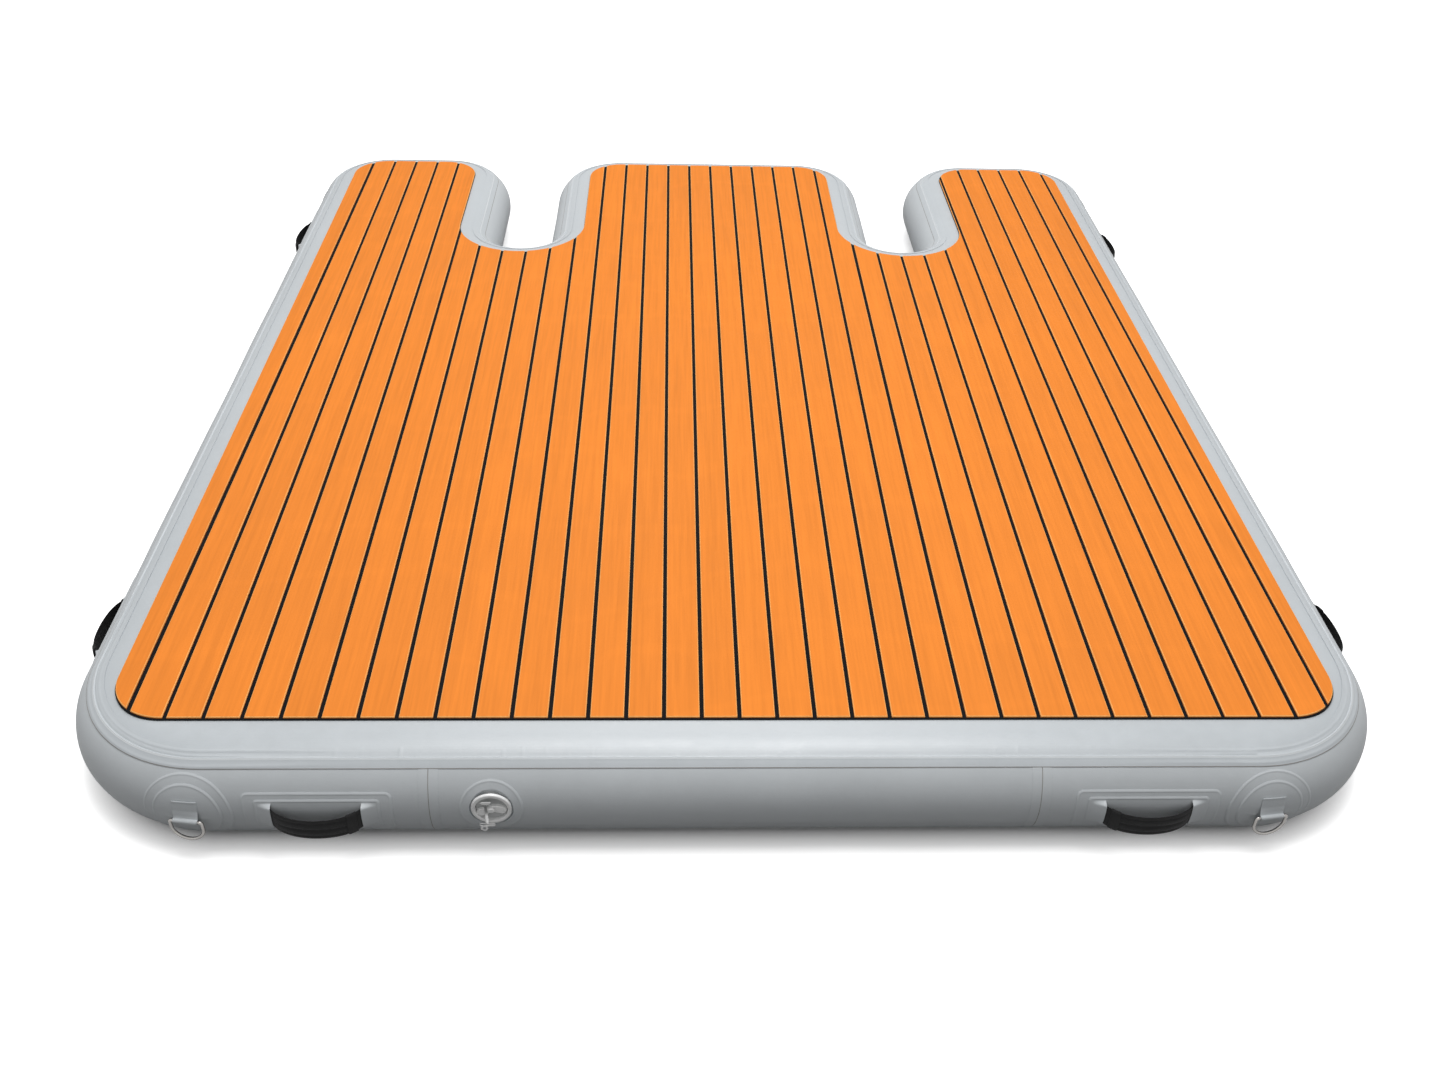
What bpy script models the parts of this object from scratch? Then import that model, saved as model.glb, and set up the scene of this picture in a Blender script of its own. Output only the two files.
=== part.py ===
"""Inflatable dock platform: an air-filled drop-stitch hull with two slots in its far end, a foam deck
routed into planks, six webbing handles, four mooring rings and a screw-capped air valve.

Metres, +Z up. The origin is the centre of the underside. The valve is at the -Y end, and the slots open
towards +Y. A fitting is drawn in its own frame: x runs to the right as seen from outside, -y points out
of the hull, and z is measured from the height of the rail's centre line.
"""

import math

import bmesh
import bpy
from mathutils import Matrix, Vector

# Hull: overall size over the side walls, and the plan of the slots at mid height
HULL_WIDTH = 2.438
HULL_LENGTH = 2.743
HULL_HEIGHT = 0.2032
NEAR_CORNER_RADIUS = 0.297
FAR_CORNER_RADIUS = 0.2084
LOBE_RADIUS = 0.2034
OUTER_LOBE_WIDTH = 0.5845
SLOT_GAP = 0.154
SLOT_DEPTH = 0.643

# Welded skins
SEAT_GAP = 0.0003
WALL_THICKNESS = 0.0015
WALL_WIDTH = 0.205
TAPE_THICKNESS = 0.0008
TAPE_LAP_ON_SKIN = 0.022
TAPE_LAP_ON_WALL = 0.0174
FRONT_JOINT_FROM_SIDE = 0.685
REAR_JOINT_FROM_END = 0.26
JOINT_COVER_WIDTH = 0.035

# Foam deck: a dark sheet with planks standing on it
DECK_SIDE_MARGIN = 0.0005
DECK_FRONT_MARGIN = 0.0225
DECK_SHEET_THICKNESS = 0.0025
DECK_BORDER = 0.003
PLANK_PITCH = 0.0672
GROOVE_SHIFT = 0.0055
PLANK_THICKNESS = 0.0035
GROOVE_WIDTH = 0.0075
DECK_NEAR_CORNER_RADIUS = 0.122
DECK_FAR_CORNER_RADIUS = 0.1

# Fineness of the facets
CORNER_FACETS = 6
SLOT_FACETS = 8
ROUND_FACETS = 18
WALL_FACETS = 6
SHOULDER_FACETS = 2
LOOP_FACETS = 7
BEND_FACETS = 3
WIRE_FACETS = 8
SPRING_FACETS = 9
SPRING_WIRE_FACETS = 4

# Handles
FRONT_HANDLE_FROM_SIDE = 0.4935
SIDE_HANDLE_FROM_END = 0.4715
HANDLE_BASE_LENGTH = 0.258
HANDLE_BASE_HEIGHT = 0.092
HANDLE_COVER_LENGTH = 0.216
HANDLE_COVER_HEIGHT = 0.067
PATCH_THICKNESS = 0.001
PATCH_CORNER = 0.012
POCKET_SPACING = 0.154
POCKET_LENGTH = 0.022
POCKET_RISE = 0.013
POCKET_HEIGHT = 0.036
POCKET_LIP = 0.0003
STRAP_AXIS_LIFT = 0.01
STRAP_HEIGHT = 0.044
STRAP_END_HEIGHT = 0.03
STRAP_WIDENING_REACH = 0.012
STRAP_END_THICKNESS = 0.0035
STRAP_THICKNESS = 0.0065
STRAP_BOW = 0.019
STRAP_SAG = 0.004
STRAP_END_GAP = 0.0003
STRAP_STATIONS = 10
STRAP_BOW_POWER = 2.6

# Mooring rings
RING_PAST_CORNER = 0.028
RING_PATCH_DIAMETER = 0.16
RING_DISC_DIAMETER = 0.123
RING_WIDTH = 0.063
RING_HEIGHT = 0.05
RING_WIRE = 0.006
RING_BEND = 0.004
TAB_WIDTH = 0.046
TAB_THICKNESS = 0.0014
TAB_TOP = 0.03
TAB_LEAVES_ABOVE = 0.011
TAB_RETURNS_BELOW = 0.013
TAB_TAIL = 0.011
BAR_CLEARANCE = 0.0004
TAB_WRAP_ANGLE = math.radians(115)
BAR_STANDOFF = 0.0095
BAR_DROP = 0.0066

# Air valve
VALVE_FROM_JOINT = 0.107
VALVE_RISE = 0.012
VALVE_PATCH_DIAMETER = 0.112
RECESS_DIAMETER = 0.0765
RECESS_SINK = 0.0035
POCKET_DIAMETER = 0.066
POCKET_DEPTH = 0.05
FLANGE_DIAMETER = 0.071
FLANGE_THICKNESS = 0.0045
FLANGE_RIM = 0.0012
GASKET_THICKNESS = 0.001
BOWL_DIAMETER = 0.056
BOWL_DEPTH = 0.009
NECK_DIAMETER = 0.06
NECK_FLOOR = 0.0025
TUBE_DIAMETER = 0.052
TUBE_LENGTH = 0.038
BORE_DIAMETER = 0.045
SEAT_DEPTH = 0.024
SEAT_THICKNESS = 0.003
PORT_DIAMETER = 0.008
PORT_CIRCLE_DIAMETER = 0.027
PORT_COUNT = 4
STEM_DIAMETER = 0.006
STEM_CLEARANCE = 0.0004
BUTTON_DIAMETER = 0.014
BUTTON_THICKNESS = 0.0025
BUTTON_STANDOFF = 0.0105
POPPET_DIAMETER = 0.038
POPPET_THICKNESS = 0.003
SPRING_DIAMETER = 0.0115
SPRING_WIRE = 0.0009
SPRING_TURNS = 4
NUT_DIAMETER = 0.063
NUT_HEIGHT = 0.009
NUT_SINK = 0.0065
CAP_THICKNESS = 0.003
CAP_CLEARANCE = 0.0006
SKIRT_LENGTH = 0.009
SKIRT_WALL = 0.002
POST_DIAMETER = 0.006
POST_HEAD_DIAMETER = 0.01
POST_HEAD_THICKNESS = 0.0015
GRIP_LENGTH = 0.044
GRIP_WIDTH = 0.016
GRIP_HEIGHT = 0.0053
STRIP_THICKNESS = 0.0016
STRIP_WIDTH = 0.0055
STRIP_OFFSET = 0.009
STRIP_TOP = 0.0205
STRIP_DROP = 0.041
CROSSBAR_SPAN = 0.017
CROSSBAR_HEIGHT = 0.0045
EYE_CLEARANCE = 0.0004
EYE_DIAMETER = 0.0125
EAR_SPAN = 0.028
EAR_HEIGHT = 0.006
LOOP_OFFSET = 0.006
LOOP_DIAMETER = 0.013
LOOP_HOLE_DIAMETER = 0.006
LOOP_LAP = 0.0015

# Worked out from the sizes above
MID_HEIGHT = HULL_HEIGHT / 2
RAIL_RADIUS = HULL_HEIGHT / 2
WALL_LIFT = SEAT_GAP + WALL_THICKNESS
RAIL_OUT = RAIL_RADIUS + WALL_LIFT
PATH_HALF_WIDTH = HULL_WIDTH / 2 - RAIL_OUT
PATH_HALF_LENGTH = HULL_LENGTH / 2 - RAIL_OUT
NEAR_PATH_RADIUS = NEAR_CORNER_RADIUS - RAIL_OUT
FAR_PATH_RADIUS = FAR_CORNER_RADIUS - RAIL_OUT
NEAR_CORNER_X = PATH_HALF_WIDTH - NEAR_PATH_RADIUS
LOBE_PATH_RADIUS = LOBE_RADIUS - RAIL_OUT
SLOT_PATH_RADIUS = SLOT_GAP / 2 + RAIL_OUT
SLOT_X = HULL_WIDTH / 2 - OUTER_LOBE_WIDTH - SLOT_GAP / 2
SLOT_Y = HULL_LENGTH / 2 - SLOT_DEPTH + SLOT_GAP / 2
FRONT_JOINT_X = HULL_WIDTH / 2 - FRONT_JOINT_FROM_SIDE
VALVE_X = VALVE_FROM_JOINT - FRONT_JOINT_X
CUT_OVERRUN = 0.01

QUARTER = math.pi / 2
CORNER_TURN = QUARTER / CORNER_FACETS
CORNER_CHORD = 2 * NEAR_CORNER_RADIUS * math.sin(CORNER_TURN / 2)
WALL_TOP_ANGLE = QUARTER - WALL_WIDTH / 2 / RAIL_RADIUS
TAPE_TOP_ANGLE = WALL_TOP_ANGLE - TAPE_LAP_ON_SKIN / RAIL_RADIUS
TAPE_LOW_ANGLE = WALL_TOP_ANGLE + TAPE_LAP_ON_WALL / RAIL_RADIUS


def even(start, end, count):
    """count + 1 evenly spaced values from start to end."""
    return [start + (end - start) * step / count for step in range(count + 1)]


def rail_angles():
    """The angles, from straight up to straight down, at which every layer of the rail has its edges."""
    upper = even(0, TAPE_TOP_ANGLE, SHOULDER_FACETS) + [WALL_TOP_ANGLE]
    middle = even(TAPE_LOW_ANGLE, math.pi - TAPE_LOW_ANGLE, WALL_FACETS)
    return upper + middle + [math.pi - angle for angle in reversed(upper)]


RAIL_ANGLES = rail_angles()


def rail_spot(angle, lift):
    """Distance out and height of a point over the faceted rail, lift above its chamber."""
    radius = RAIL_RADIUS + lift
    for low, high in zip(RAIL_ANGLES, RAIL_ANGLES[1:]):
        if low <= angle <= high:
            radius *= math.cos((high - low) / 2) / math.cos(angle - (low + high) / 2)
            break
    return radius * math.sin(angle), radius * math.cos(angle)


def material(name, colour, roughness, metallic=0.0):
    """A Principled material of one colour."""
    made = bpy.data.materials.new(name)
    made.use_nodes = True
    shader = made.node_tree.nodes["Principled BSDF"]
    shader.inputs["Base Color"].default_value = (*colour, 1)
    shader.inputs["Roughness"].default_value = roughness
    shader.inputs["Metallic"].default_value = metallic
    made.diffuse_color = (*colour, 1)
    return made


def add_object(name, mesh, colour, place=Matrix(), smooth=math.radians(40)):
    """An object from a bmesh, facing out, with its own material."""
    bmesh.ops.recalc_face_normals(mesh, faces=mesh.faces)
    data = bpy.data.meshes.new(name)
    mesh.to_mesh(data)
    mesh.free()
    data.shade_smooth()
    data.set_sharp_from_angle(angle=smooth)
    made = bpy.data.objects.new(name, data)
    data.materials.append(material(name, *colour))
    made.matrix_world = place
    bpy.context.scene.collection.objects.link(made)
    return made


def add_cutter(name, mesh, place=Matrix()):
    """A shape that only cuts or joins others."""
    cutter = add_object(name, mesh, PALETTE["white_plastic"], place)
    cutter.hide_render = True
    cutter.display_type = "WIRE"
    return cutter


def combine(target, other, operation):
    """Cut another object from the target, or join it on."""
    modifier = target.modifiers.new(other.name, "BOOLEAN")
    modifier.operation = operation
    modifier.solver = "EXACT"
    modifier.object = other


def loft(rings, closed=False):
    """A solid skinned over rings of points, capped at both ends unless it is closed on itself."""
    mesh = bmesh.new()
    loops = [[mesh.verts.new(point) for point in ring] for ring in rings]
    pairs = list(zip(loops, loops[1:]))
    if closed:
        pairs.append((loops[-1], loops[0]))
    else:
        mesh.faces.new(loops[0])
        mesh.faces.new(loops[-1])
    for first, second in pairs:
        for index in range(len(first)):
            after = (index + 1) % len(first)
            mesh.faces.new((first[index], first[after], second[after], second[index]))
    return mesh


def prism(outline, low, high):
    """A plate from a plan outline, between two heights."""
    return loft([[(x, y, height) for x, y in outline] for height in (low, high)])


def arc(centre, radius, start, sweep, facets, outward=1):
    """Plan stations (x, y, normal x, normal y) along an arc; outward is -1 where the hull is outside."""
    stations = []
    for angle in even(start, start + sweep, facets):
        direction = (math.cos(angle), math.sin(angle))
        stations.append((
            centre[0] + radius * direction[0],
            centre[1] + radius * direction[1],
            outward * direction[0],
            outward * direction[1],
        ))
    return stations


def mirrored(stations):
    """The same stations on the other side of the centre line, in the order that keeps the turn."""
    return [(-x, y, -nx, ny) for x, y, nx, ny in reversed(stations)]


def plan_path(inset, front_inset, near_radius, far_radius):
    """Stations round the platform, inset from the line where the flat top meets the rail."""
    edge_x = PATH_HALF_WIDTH - inset
    near_y = -PATH_HALF_LENGTH + front_inset
    far_y = PATH_HALF_LENGTH - inset
    slot_radius = SLOT_PATH_RADIUS + inset
    lobe_radius = LOBE_PATH_RADIUS - inset
    lobe_y = far_y - lobe_radius
    outer_lobe_x = SLOT_X + slot_radius + lobe_radius
    inner_lobe_x = SLOT_X - slot_radius - lobe_radius
    near_corner = (edge_x - near_radius, near_y + near_radius)
    far_corner = (edge_x - far_radius, far_y - far_radius)
    right = arc(near_corner, near_radius, -QUARTER, QUARTER, CORNER_FACETS)
    right += arc(far_corner, far_radius, 0, QUARTER, CORNER_FACETS)
    right += arc((outer_lobe_x, lobe_y), lobe_radius, QUARTER, QUARTER, CORNER_FACETS)
    right += arc((SLOT_X, SLOT_Y), slot_radius, 0, -math.pi, SLOT_FACETS, -1)
    right += arc((inner_lobe_x, lobe_y), lobe_radius, 0, QUARTER, CORNER_FACETS)
    return right + mirrored(right)


def swept(stations, section, closed):
    """A solid that carries a section of (distance out, height) along plan stations."""
    return loft([
        [(x + nx * out, y + ny * out, MID_HEIGHT + height) for out, height in section]
        for x, y, nx, ny in stations
    ], closed)


def band_section(rows):
    """A closed section from (angle, lift) rows on the outer side, then on the inner side."""
    return [rail_spot(angle, lift) for angle, lift in rows]


def skin_rows(start, end, lift, thickness):
    """Section rows of a skin of even thickness that follows the rail between two angles."""
    angles = [start] + [angle for angle in RAIL_ANGLES if start < angle < end] + [end]
    outer = [(angle, lift + thickness) for angle in angles]
    return outer + [(angle, lift) for angle in reversed(angles)]


def build_chamber():
    """The air chamber: flat drop-stitch top and bottom, and a rail of half-round section."""
    stations = plan_path(0, 0, NEAR_PATH_RADIUS, FAR_PATH_RADIUS)
    mesh = bmesh.new()
    rows = []
    for angle in RAIL_ANGLES:
        out, height = rail_spot(angle, 0)
        out = 0 if angle in (0, math.pi) else out
        rows.append([
            mesh.verts.new((x + nx * out, y + ny * out, MID_HEIGHT + height))
            for x, y, nx, ny in stations
        ])
    for upper, lower in zip(rows, rows[1:]):
        for index in range(len(stations)):
            after = (index + 1) % len(stations)
            mesh.faces.new((upper[index], upper[after], lower[after], lower[index]))
    mesh.faces.new(rows[0])
    mesh.faces.new(list(reversed(rows[-1])))
    return add_object("air_chamber", mesh, PALETTE["grey_pvc"])


def split_path(stations, cuts):
    """The closed path cut into open runs at points on its straight stretches, with half a gap at each."""
    runs = []
    run = []
    for index, here in enumerate(stations):
        ahead = stations[(index + 1) % len(stations)]
        run.append(here)
        step = Vector((ahead[0] - here[0], ahead[1] - here[1]))
        for cut in cuts:
            offset = Vector((cut[0] - here[0], cut[1] - here[1]))
            if step.length == 0 or abs(step.cross(offset)) > SEAT_GAP * step.length:
                continue
            if 0 < offset.dot(step) < step.length_squared:
                lead = step.normalized() * SEAT_GAP / 2
                run.append((cut[0] - lead.x, cut[1] - lead.y, here[2], here[3]))
                runs.append(run)
                run = [(cut[0] + lead.x, cut[1] + lead.y, here[2], here[3])]
    runs[0] = run + runs[0]
    return runs


def joint_cuts():
    """Where the side wall's strips meet: two joints in the front and one near the far end of each side."""
    near = [(side * FRONT_JOINT_X, -PATH_HALF_LENGTH) for side in (-1, 1)]
    far_y = HULL_LENGTH / 2 - REAR_JOINT_FROM_END
    far = [(side * PATH_HALF_WIDTH, far_y) for side in (-1, 1)]
    return near, far


def build_walls():
    """Four strips of side wall, end to end round the rail."""
    near, far = joint_cuts()
    stations = plan_path(0, 0, NEAR_PATH_RADIUS, FAR_PATH_RADIUS)
    section = band_section(skin_rows(WALL_TOP_ANGLE, math.pi - WALL_TOP_ANGLE, SEAT_GAP, WALL_THICKNESS))
    walls = {}
    for run in split_path(stations, near + far):
        middle_x = sum(station[0] for station in run) / len(run)
        middle_y = sum(station[1] for station in run) / len(run)
        if abs(middle_x) < PATH_HALF_WIDTH / 2:
            name = "side_wall_front" if middle_y < 0 else "side_wall_rear"
        else:
            name = "side_wall_left" if middle_x < 0 else "side_wall_right"
        walls[name] = add_object(name, swept(run, section, False), PALETTE["grey_pvc"])
    return walls


def build_joint_covers():
    """A cover strip over each joint of the side wall, between the two seam tapes."""
    near, far = joint_cuts()
    start = TAPE_LOW_ANGLE + SEAT_GAP / RAIL_RADIUS
    rows = skin_rows(start, math.pi - start, WALL_LIFT + SEAT_GAP, TAPE_THICKNESS)
    section = band_section(rows)
    half = JOINT_COVER_WIDTH / 2
    for (x, y), side in zip(near, ("left", "right")):
        run = [(x - half, y, 0, -1), (x + half, y, 0, -1)]
        add_object(f"joint_cover_front_{side}", swept(run, section, False), PALETTE["grey_tape"])
    for (x, y), side in zip(far, ("left", "right")):
        normal = math.copysign(1, x)
        run = [(x, y - half, normal, 0), (x, y + half, normal, 0)]
        add_object(f"joint_cover_rear_{side}", swept(run, section, False), PALETTE["grey_tape"])


def tape_section():
    """A seam tape: it lies on the chamber, then steps up over the edge of the side wall."""
    step = WALL_TOP_ANGLE - SEAT_GAP / RAIL_RADIUS
    on_skin = SEAT_GAP
    on_wall = WALL_LIFT + SEAT_GAP
    outer = [
        (TAPE_TOP_ANGLE, on_skin + TAPE_THICKNESS),
        (step - TAPE_THICKNESS / RAIL_RADIUS, on_skin + TAPE_THICKNESS),
        (step, on_wall + TAPE_THICKNESS),
        (TAPE_LOW_ANGLE, on_wall + TAPE_THICKNESS),
    ]
    inner = [
        (TAPE_LOW_ANGLE, on_wall),
        (WALL_TOP_ANGLE, on_wall),
        (step, on_wall),
        (step, on_skin),
        (TAPE_TOP_ANGLE, on_skin),
    ]
    return band_section(outer + inner)


def build_tapes():
    """The seam tapes that seal the side wall to the top and to the bottom."""
    stations = plan_path(0, 0, NEAR_PATH_RADIUS, FAR_PATH_RADIUS)
    section = tape_section()
    add_object("seam_tape_top", swept(stations, section, True), PALETTE["grey_tape"])
    turned_over = [(out, -height) for out, height in reversed(section)]
    add_object("seam_tape_bottom", swept(stations, turned_over, True), PALETTE["grey_tape"])


def clip_to_strip(points, low, high):
    """The part of a polyline that runs along X which lies between two values of x."""
    inside = []
    for (x0, y0), (x1, y1) in zip(points, points[1:]):
        if max(x0, x1) < low or min(x0, x1) > high:
            continue
        for x, y, other_x, other_y in ((x0, y0, x1, y1), (x1, y1, x0, y0)):
            bound = min(max(x, low), high)
            if bound != x:
                y += (other_y - y) * (bound - x) / (other_x - x)
            if not inside or math.dist(inside[-1], (bound, y)) > SEAT_GAP:
                inside.append((bound, y))
    return inside


def build_deck():
    """The foam deck: a thin sheet with a border round it, and the planks left between its grooves."""
    near_radius, far_radius = DECK_NEAR_CORNER_RADIUS, DECK_FAR_CORNER_RADIUS
    sheet = plan_path(DECK_SIDE_MARGIN, DECK_FRONT_MARGIN, near_radius, far_radius)
    low = HULL_HEIGHT + SEAT_GAP
    top = low + DECK_SHEET_THICKNESS
    pad = add_object("deck_pad", prism([(x, y) for x, y, _, _ in sheet], low, top), PALETTE["deck_foam"])

    inset = DECK_SIDE_MARGIN + DECK_BORDER
    front_inset = DECK_FRONT_MARGIN + DECK_BORDER
    edge = plan_path(inset, front_inset, near_radius - DECK_BORDER, far_radius - DECK_BORDER)
    outline = [(x, y) for x, y, _, _ in edge]
    half = len(outline) // 2
    near_right = outline[:CORNER_FACETS + 1]
    near_left = outline[-CORNER_FACETS - 1:]
    near = near_left + near_right
    far = outline[CORNER_FACETS + 1:half] + outline[half:-CORNER_FACETS - 1]

    half_width = PATH_HALF_WIDTH - inset
    grooves = math.floor(half_width / PLANK_PITCH)
    lines = [GROOVE_SHIFT + PLANK_PITCH * step for step in range(-grooves, grooves + 1)]
    starts = [-half_width] + [line + GROOVE_WIDTH / 2 for line in lines]
    ends = [line - GROOVE_WIDTH / 2 for line in lines] + [half_width]
    planks = bmesh.new()
    for start, end in zip(starts, ends):
        if end - start < GROOVE_WIDTH:
            continue
        border = clip_to_strip(near, start, end) + clip_to_strip(far, start, end)
        rings = [
            [planks.verts.new((x, y, height)) for x, y in border]
            for height in (top - DECK_SHEET_THICKNESS / 2, top + PLANK_THICKNESS)
        ]
        for ring in rings:
            planks.faces.new(ring)
        for index in range(len(border)):
            after = (index + 1) % len(border)
            planks.faces.new((rings[0][index], rings[0][after], rings[1][after], rings[1][index]))
    combine(pad, add_cutter("plank_shapes", planks), "UNION")
    return pad


def fitting_place(x, y, turn, rise=0.0):
    """Where a fitting's own frame stands: on the rail's centre line, turned to face out."""
    return Matrix.Translation((x, y, MID_HEIGHT + rise)) @ Matrix.Rotation(turn, 4, "Z")


def straight(across, out, up):
    """A point of a fitting's frame where the rail runs straight."""
    return (across, -out, up)


def round_corner(side):
    """The bend that lays a ring's fittings along the facets of a near corner, from where it begins."""
    def bend(across, out, up):
        past = RING_PAST_CORNER + side * across
        if past <= 0:
            return (side * past, -out, up)
        facet = math.floor(past / CORNER_CHORD)
        share = past / CORNER_CHORD - facet
        reach = NEAR_PATH_RADIUS + out
        starts, ends = facet * CORNER_TURN, (facet + 1) * CORNER_TURN
        along = reach * (math.sin(starts) * (1 - share) + math.sin(ends) * share)
        back = reach * (math.cos(starts) * (1 - share) + math.cos(ends) * share)
        return (side * along, NEAR_PATH_RADIUS - back, up)
    return bend


def on_rail(across, girth, lift, bend):
    """A point of a fitting's frame: across the wall, then along its girth up from mid height."""
    out, height = rail_spot(QUARTER - girth / RAIL_RADIUS, lift)
    return bend(across, out, height)


def patch_rows(wanted, limit):
    """Girths of a patch's rows: the wanted ones and every edge of the wall's facets within the limit."""
    edges = [(QUARTER - angle) * RAIL_RADIUS for angle in RAIL_ANGLES]
    rows = list(wanted) + [edge for edge in edges if abs(edge) < limit - SEAT_GAP]
    kept = []
    for row in sorted(rows):
        if not kept or row - kept[-1] > SEAT_GAP:
            kept.append(row)
    return kept


def sheet_mesh(rows, columns, lift, rise, bend=straight):
    """A sheet on the wall. columns(girth) gives its points across, and rise(x, girth) its thickness."""
    mesh = bmesh.new()
    outer = []
    inner = []
    for girth in rows:
        line = columns(girth)
        outer.append([mesh.verts.new(on_rail(x, girth, lift + rise(x, girth), bend)) for x in line])
        inner.append([mesh.verts.new(on_rail(x, girth, lift, bend)) for x in line])
    for grid in (outer, inner):
        for low, high in zip(grid, grid[1:]):
            for index in range(len(low) - 1):
                mesh.faces.new((low[index], low[index + 1], high[index + 1], high[index]))
        for outer_row, inner_row in ((outer[0], inner[0]), (outer[-1], inner[-1])):
            if grid is inner:
                break
            for index in range(len(outer_row) - 1):
                mesh.faces.new((
                    outer_row[index], outer_row[index + 1], inner_row[index + 1], inner_row[index],
                ))
    for side in (0, -1):
        for index in range(len(rows) - 1):
            mesh.faces.new((
                outer[index][side], outer[index + 1][side], inner[index + 1][side], inner[index][side],
            ))
    return mesh


def rectangle_columns(length, height, corner, inner_columns=()):
    """Points across a rectangular patch, drawn in towards its top and bottom edges."""
    def columns(girth):
        past = max(0, abs(girth) - (height / 2 - corner)) / corner
        half = length / 2 - corner + corner * math.sqrt(max(0, 1 - past * past))
        half = max(half, length / 2 - corner)
        return [-half, *inner_columns, half]
    return columns


def disc_columns(diameter, folds=()):
    """Points across a round patch at one girth, with one at every fold that the patch reaches."""
    def columns(girth):
        half = math.sqrt(max(diameter * diameter / 4 - girth * girth, SEAT_GAP * diameter))
        inner = [min(max(fold, SEAT_GAP - half), half - SEAT_GAP) for fold in folds]
        return [-half, *inner, half]
    return columns


def disc_rows(diameter):
    """Girths that give a round patch an even outline."""
    steps = ROUND_FACETS // 2
    return [diameter / 2 * math.sin(angle) for angle in even(-QUARTER, QUARTER, steps)]


def even_rise(thickness):
    """A sheet of one thickness."""
    return lambda x, girth: thickness


def handle_base(name, place):
    """The reinforcing patch under a handle."""
    half = HANDLE_BASE_HEIGHT / 2
    rows = patch_rows((-half, PATCH_CORNER / 2 - half, half - PATCH_CORNER / 2, half), half)
    columns = rectangle_columns(HANDLE_BASE_LENGTH, HANDLE_BASE_HEIGHT, PATCH_CORNER)
    mesh = sheet_mesh(rows, columns, WALL_LIFT + SEAT_GAP, even_rise(PATCH_THICKNESS))
    return add_object(name, mesh, PALETTE["grey_pvc"], place)


def pocket_rise(x, girth):
    """Thickness of the cover patch: it rises to a mouth at each end of the strap."""
    mouth = POCKET_SPACING / 2
    reach = abs(x) - mouth
    if reach < 0:
        return PATCH_THICKNESS
    along = max(0, 1 - reach / POCKET_LENGTH)
    spread = HANDLE_COVER_HEIGHT / 2 - PATCH_CORNER / 2
    fall = (spread - abs(girth)) / (spread - POCKET_HEIGHT / 2)
    return PATCH_THICKNESS + POCKET_RISE * along * min(1, max(0, fall))


def handle_cover(name, place):
    """The cover patch over a strap's ends, with a raised pocket at each."""
    half = HANDLE_COVER_HEIGHT / 2
    mouth = POCKET_SPACING / 2
    lift = WALL_LIFT + PATCH_THICKNESS + 2 * SEAT_GAP
    inner = (-mouth - POCKET_LENGTH, -mouth, POCKET_LIP - mouth, mouth - POCKET_LIP, mouth,
             mouth + POCKET_LENGTH)
    wanted = (-half, -POCKET_HEIGHT / 2, POCKET_HEIGHT / 2, half)
    columns = rectangle_columns(HANDLE_COVER_LENGTH, HANDLE_COVER_HEIGHT, PATCH_CORNER / 2, inner)
    mesh = sheet_mesh(patch_rows(wanted, half), columns, lift, pocket_rise)
    return add_object(name, mesh, PALETTE["grey_pvc"], place)


def strap_axis_out():
    """How far the line through a strap's two ends stands from the rail's centre line."""
    return RAIL_OUT + 2 * PATCH_THICKNESS + 2 * SEAT_GAP + STRAP_AXIS_LIFT


def strap_section(thickness, height):
    """The strap's section as (across, up): two padded ribs with a channel between them."""
    rib = thickness / 2
    tall = height / 2
    edge_share, shoulder_share, inner_share, channel_share = 0.35, 0.78, 0.24, 0.45
    front = [
        (rib * edge_share, tall),
        (rib, tall * shoulder_share),
        (rib, tall * inner_share),
        (rib * channel_share, 0),
        (rib, -tall * inner_share),
        (rib, -tall * shoulder_share),
        (rib * edge_share, -tall),
    ]
    back = [(-rib * edge_share, -tall), (-rib, -tall * shoulder_share), (-rib, tall * shoulder_share),
            (-rib * edge_share, tall)]
    return front + back


def handle_strap(name, place):
    """The webbing strap: narrow where it leaves its pockets, bowed out and sagging a little between."""
    half = POCKET_SPACING / 2 - POCKET_LIP - STRAP_END_GAP
    bow_power = STRAP_BOW_POWER
    rings = []
    for step in even(-QUARTER, QUARTER, STRAP_STATIONS):
        x = half * math.sin(step)
        share = min(1, abs(x) / half)
        out = STRAP_BOW * (1 - share ** bow_power) ** (1 / bow_power)
        sag = -STRAP_SAG * (1 - share * share)
        widening = min(1, out / STRAP_WIDENING_REACH)
        height = STRAP_END_HEIGHT + (STRAP_HEIGHT - STRAP_END_HEIGHT) * widening
        thickness = STRAP_END_THICKNESS + (STRAP_THICKNESS - STRAP_END_THICKNESS) * widening
        slope = 0 if share < 1 else math.copysign(1, -x)
        if 0 < share < 1:
            rate = STRAP_BOW * share ** (bow_power - 1) * (1 - share ** bow_power) ** (1 / bow_power - 1)
            slope = -math.copysign(rate, x) / half
        turn = math.atan(slope) if share < 1 else 0
        ring = []
        for across, up in strap_section(thickness, height):
            ring.append((
                x - across * math.sin(turn),
                -out - across * math.cos(turn),
                sag + up,
            ))
        rings.append(ring)
    axis = Matrix.Translation((0, -strap_axis_out(), 0))
    return add_object(name, loft(rings), PALETTE["black_webbing"], place @ axis)


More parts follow.
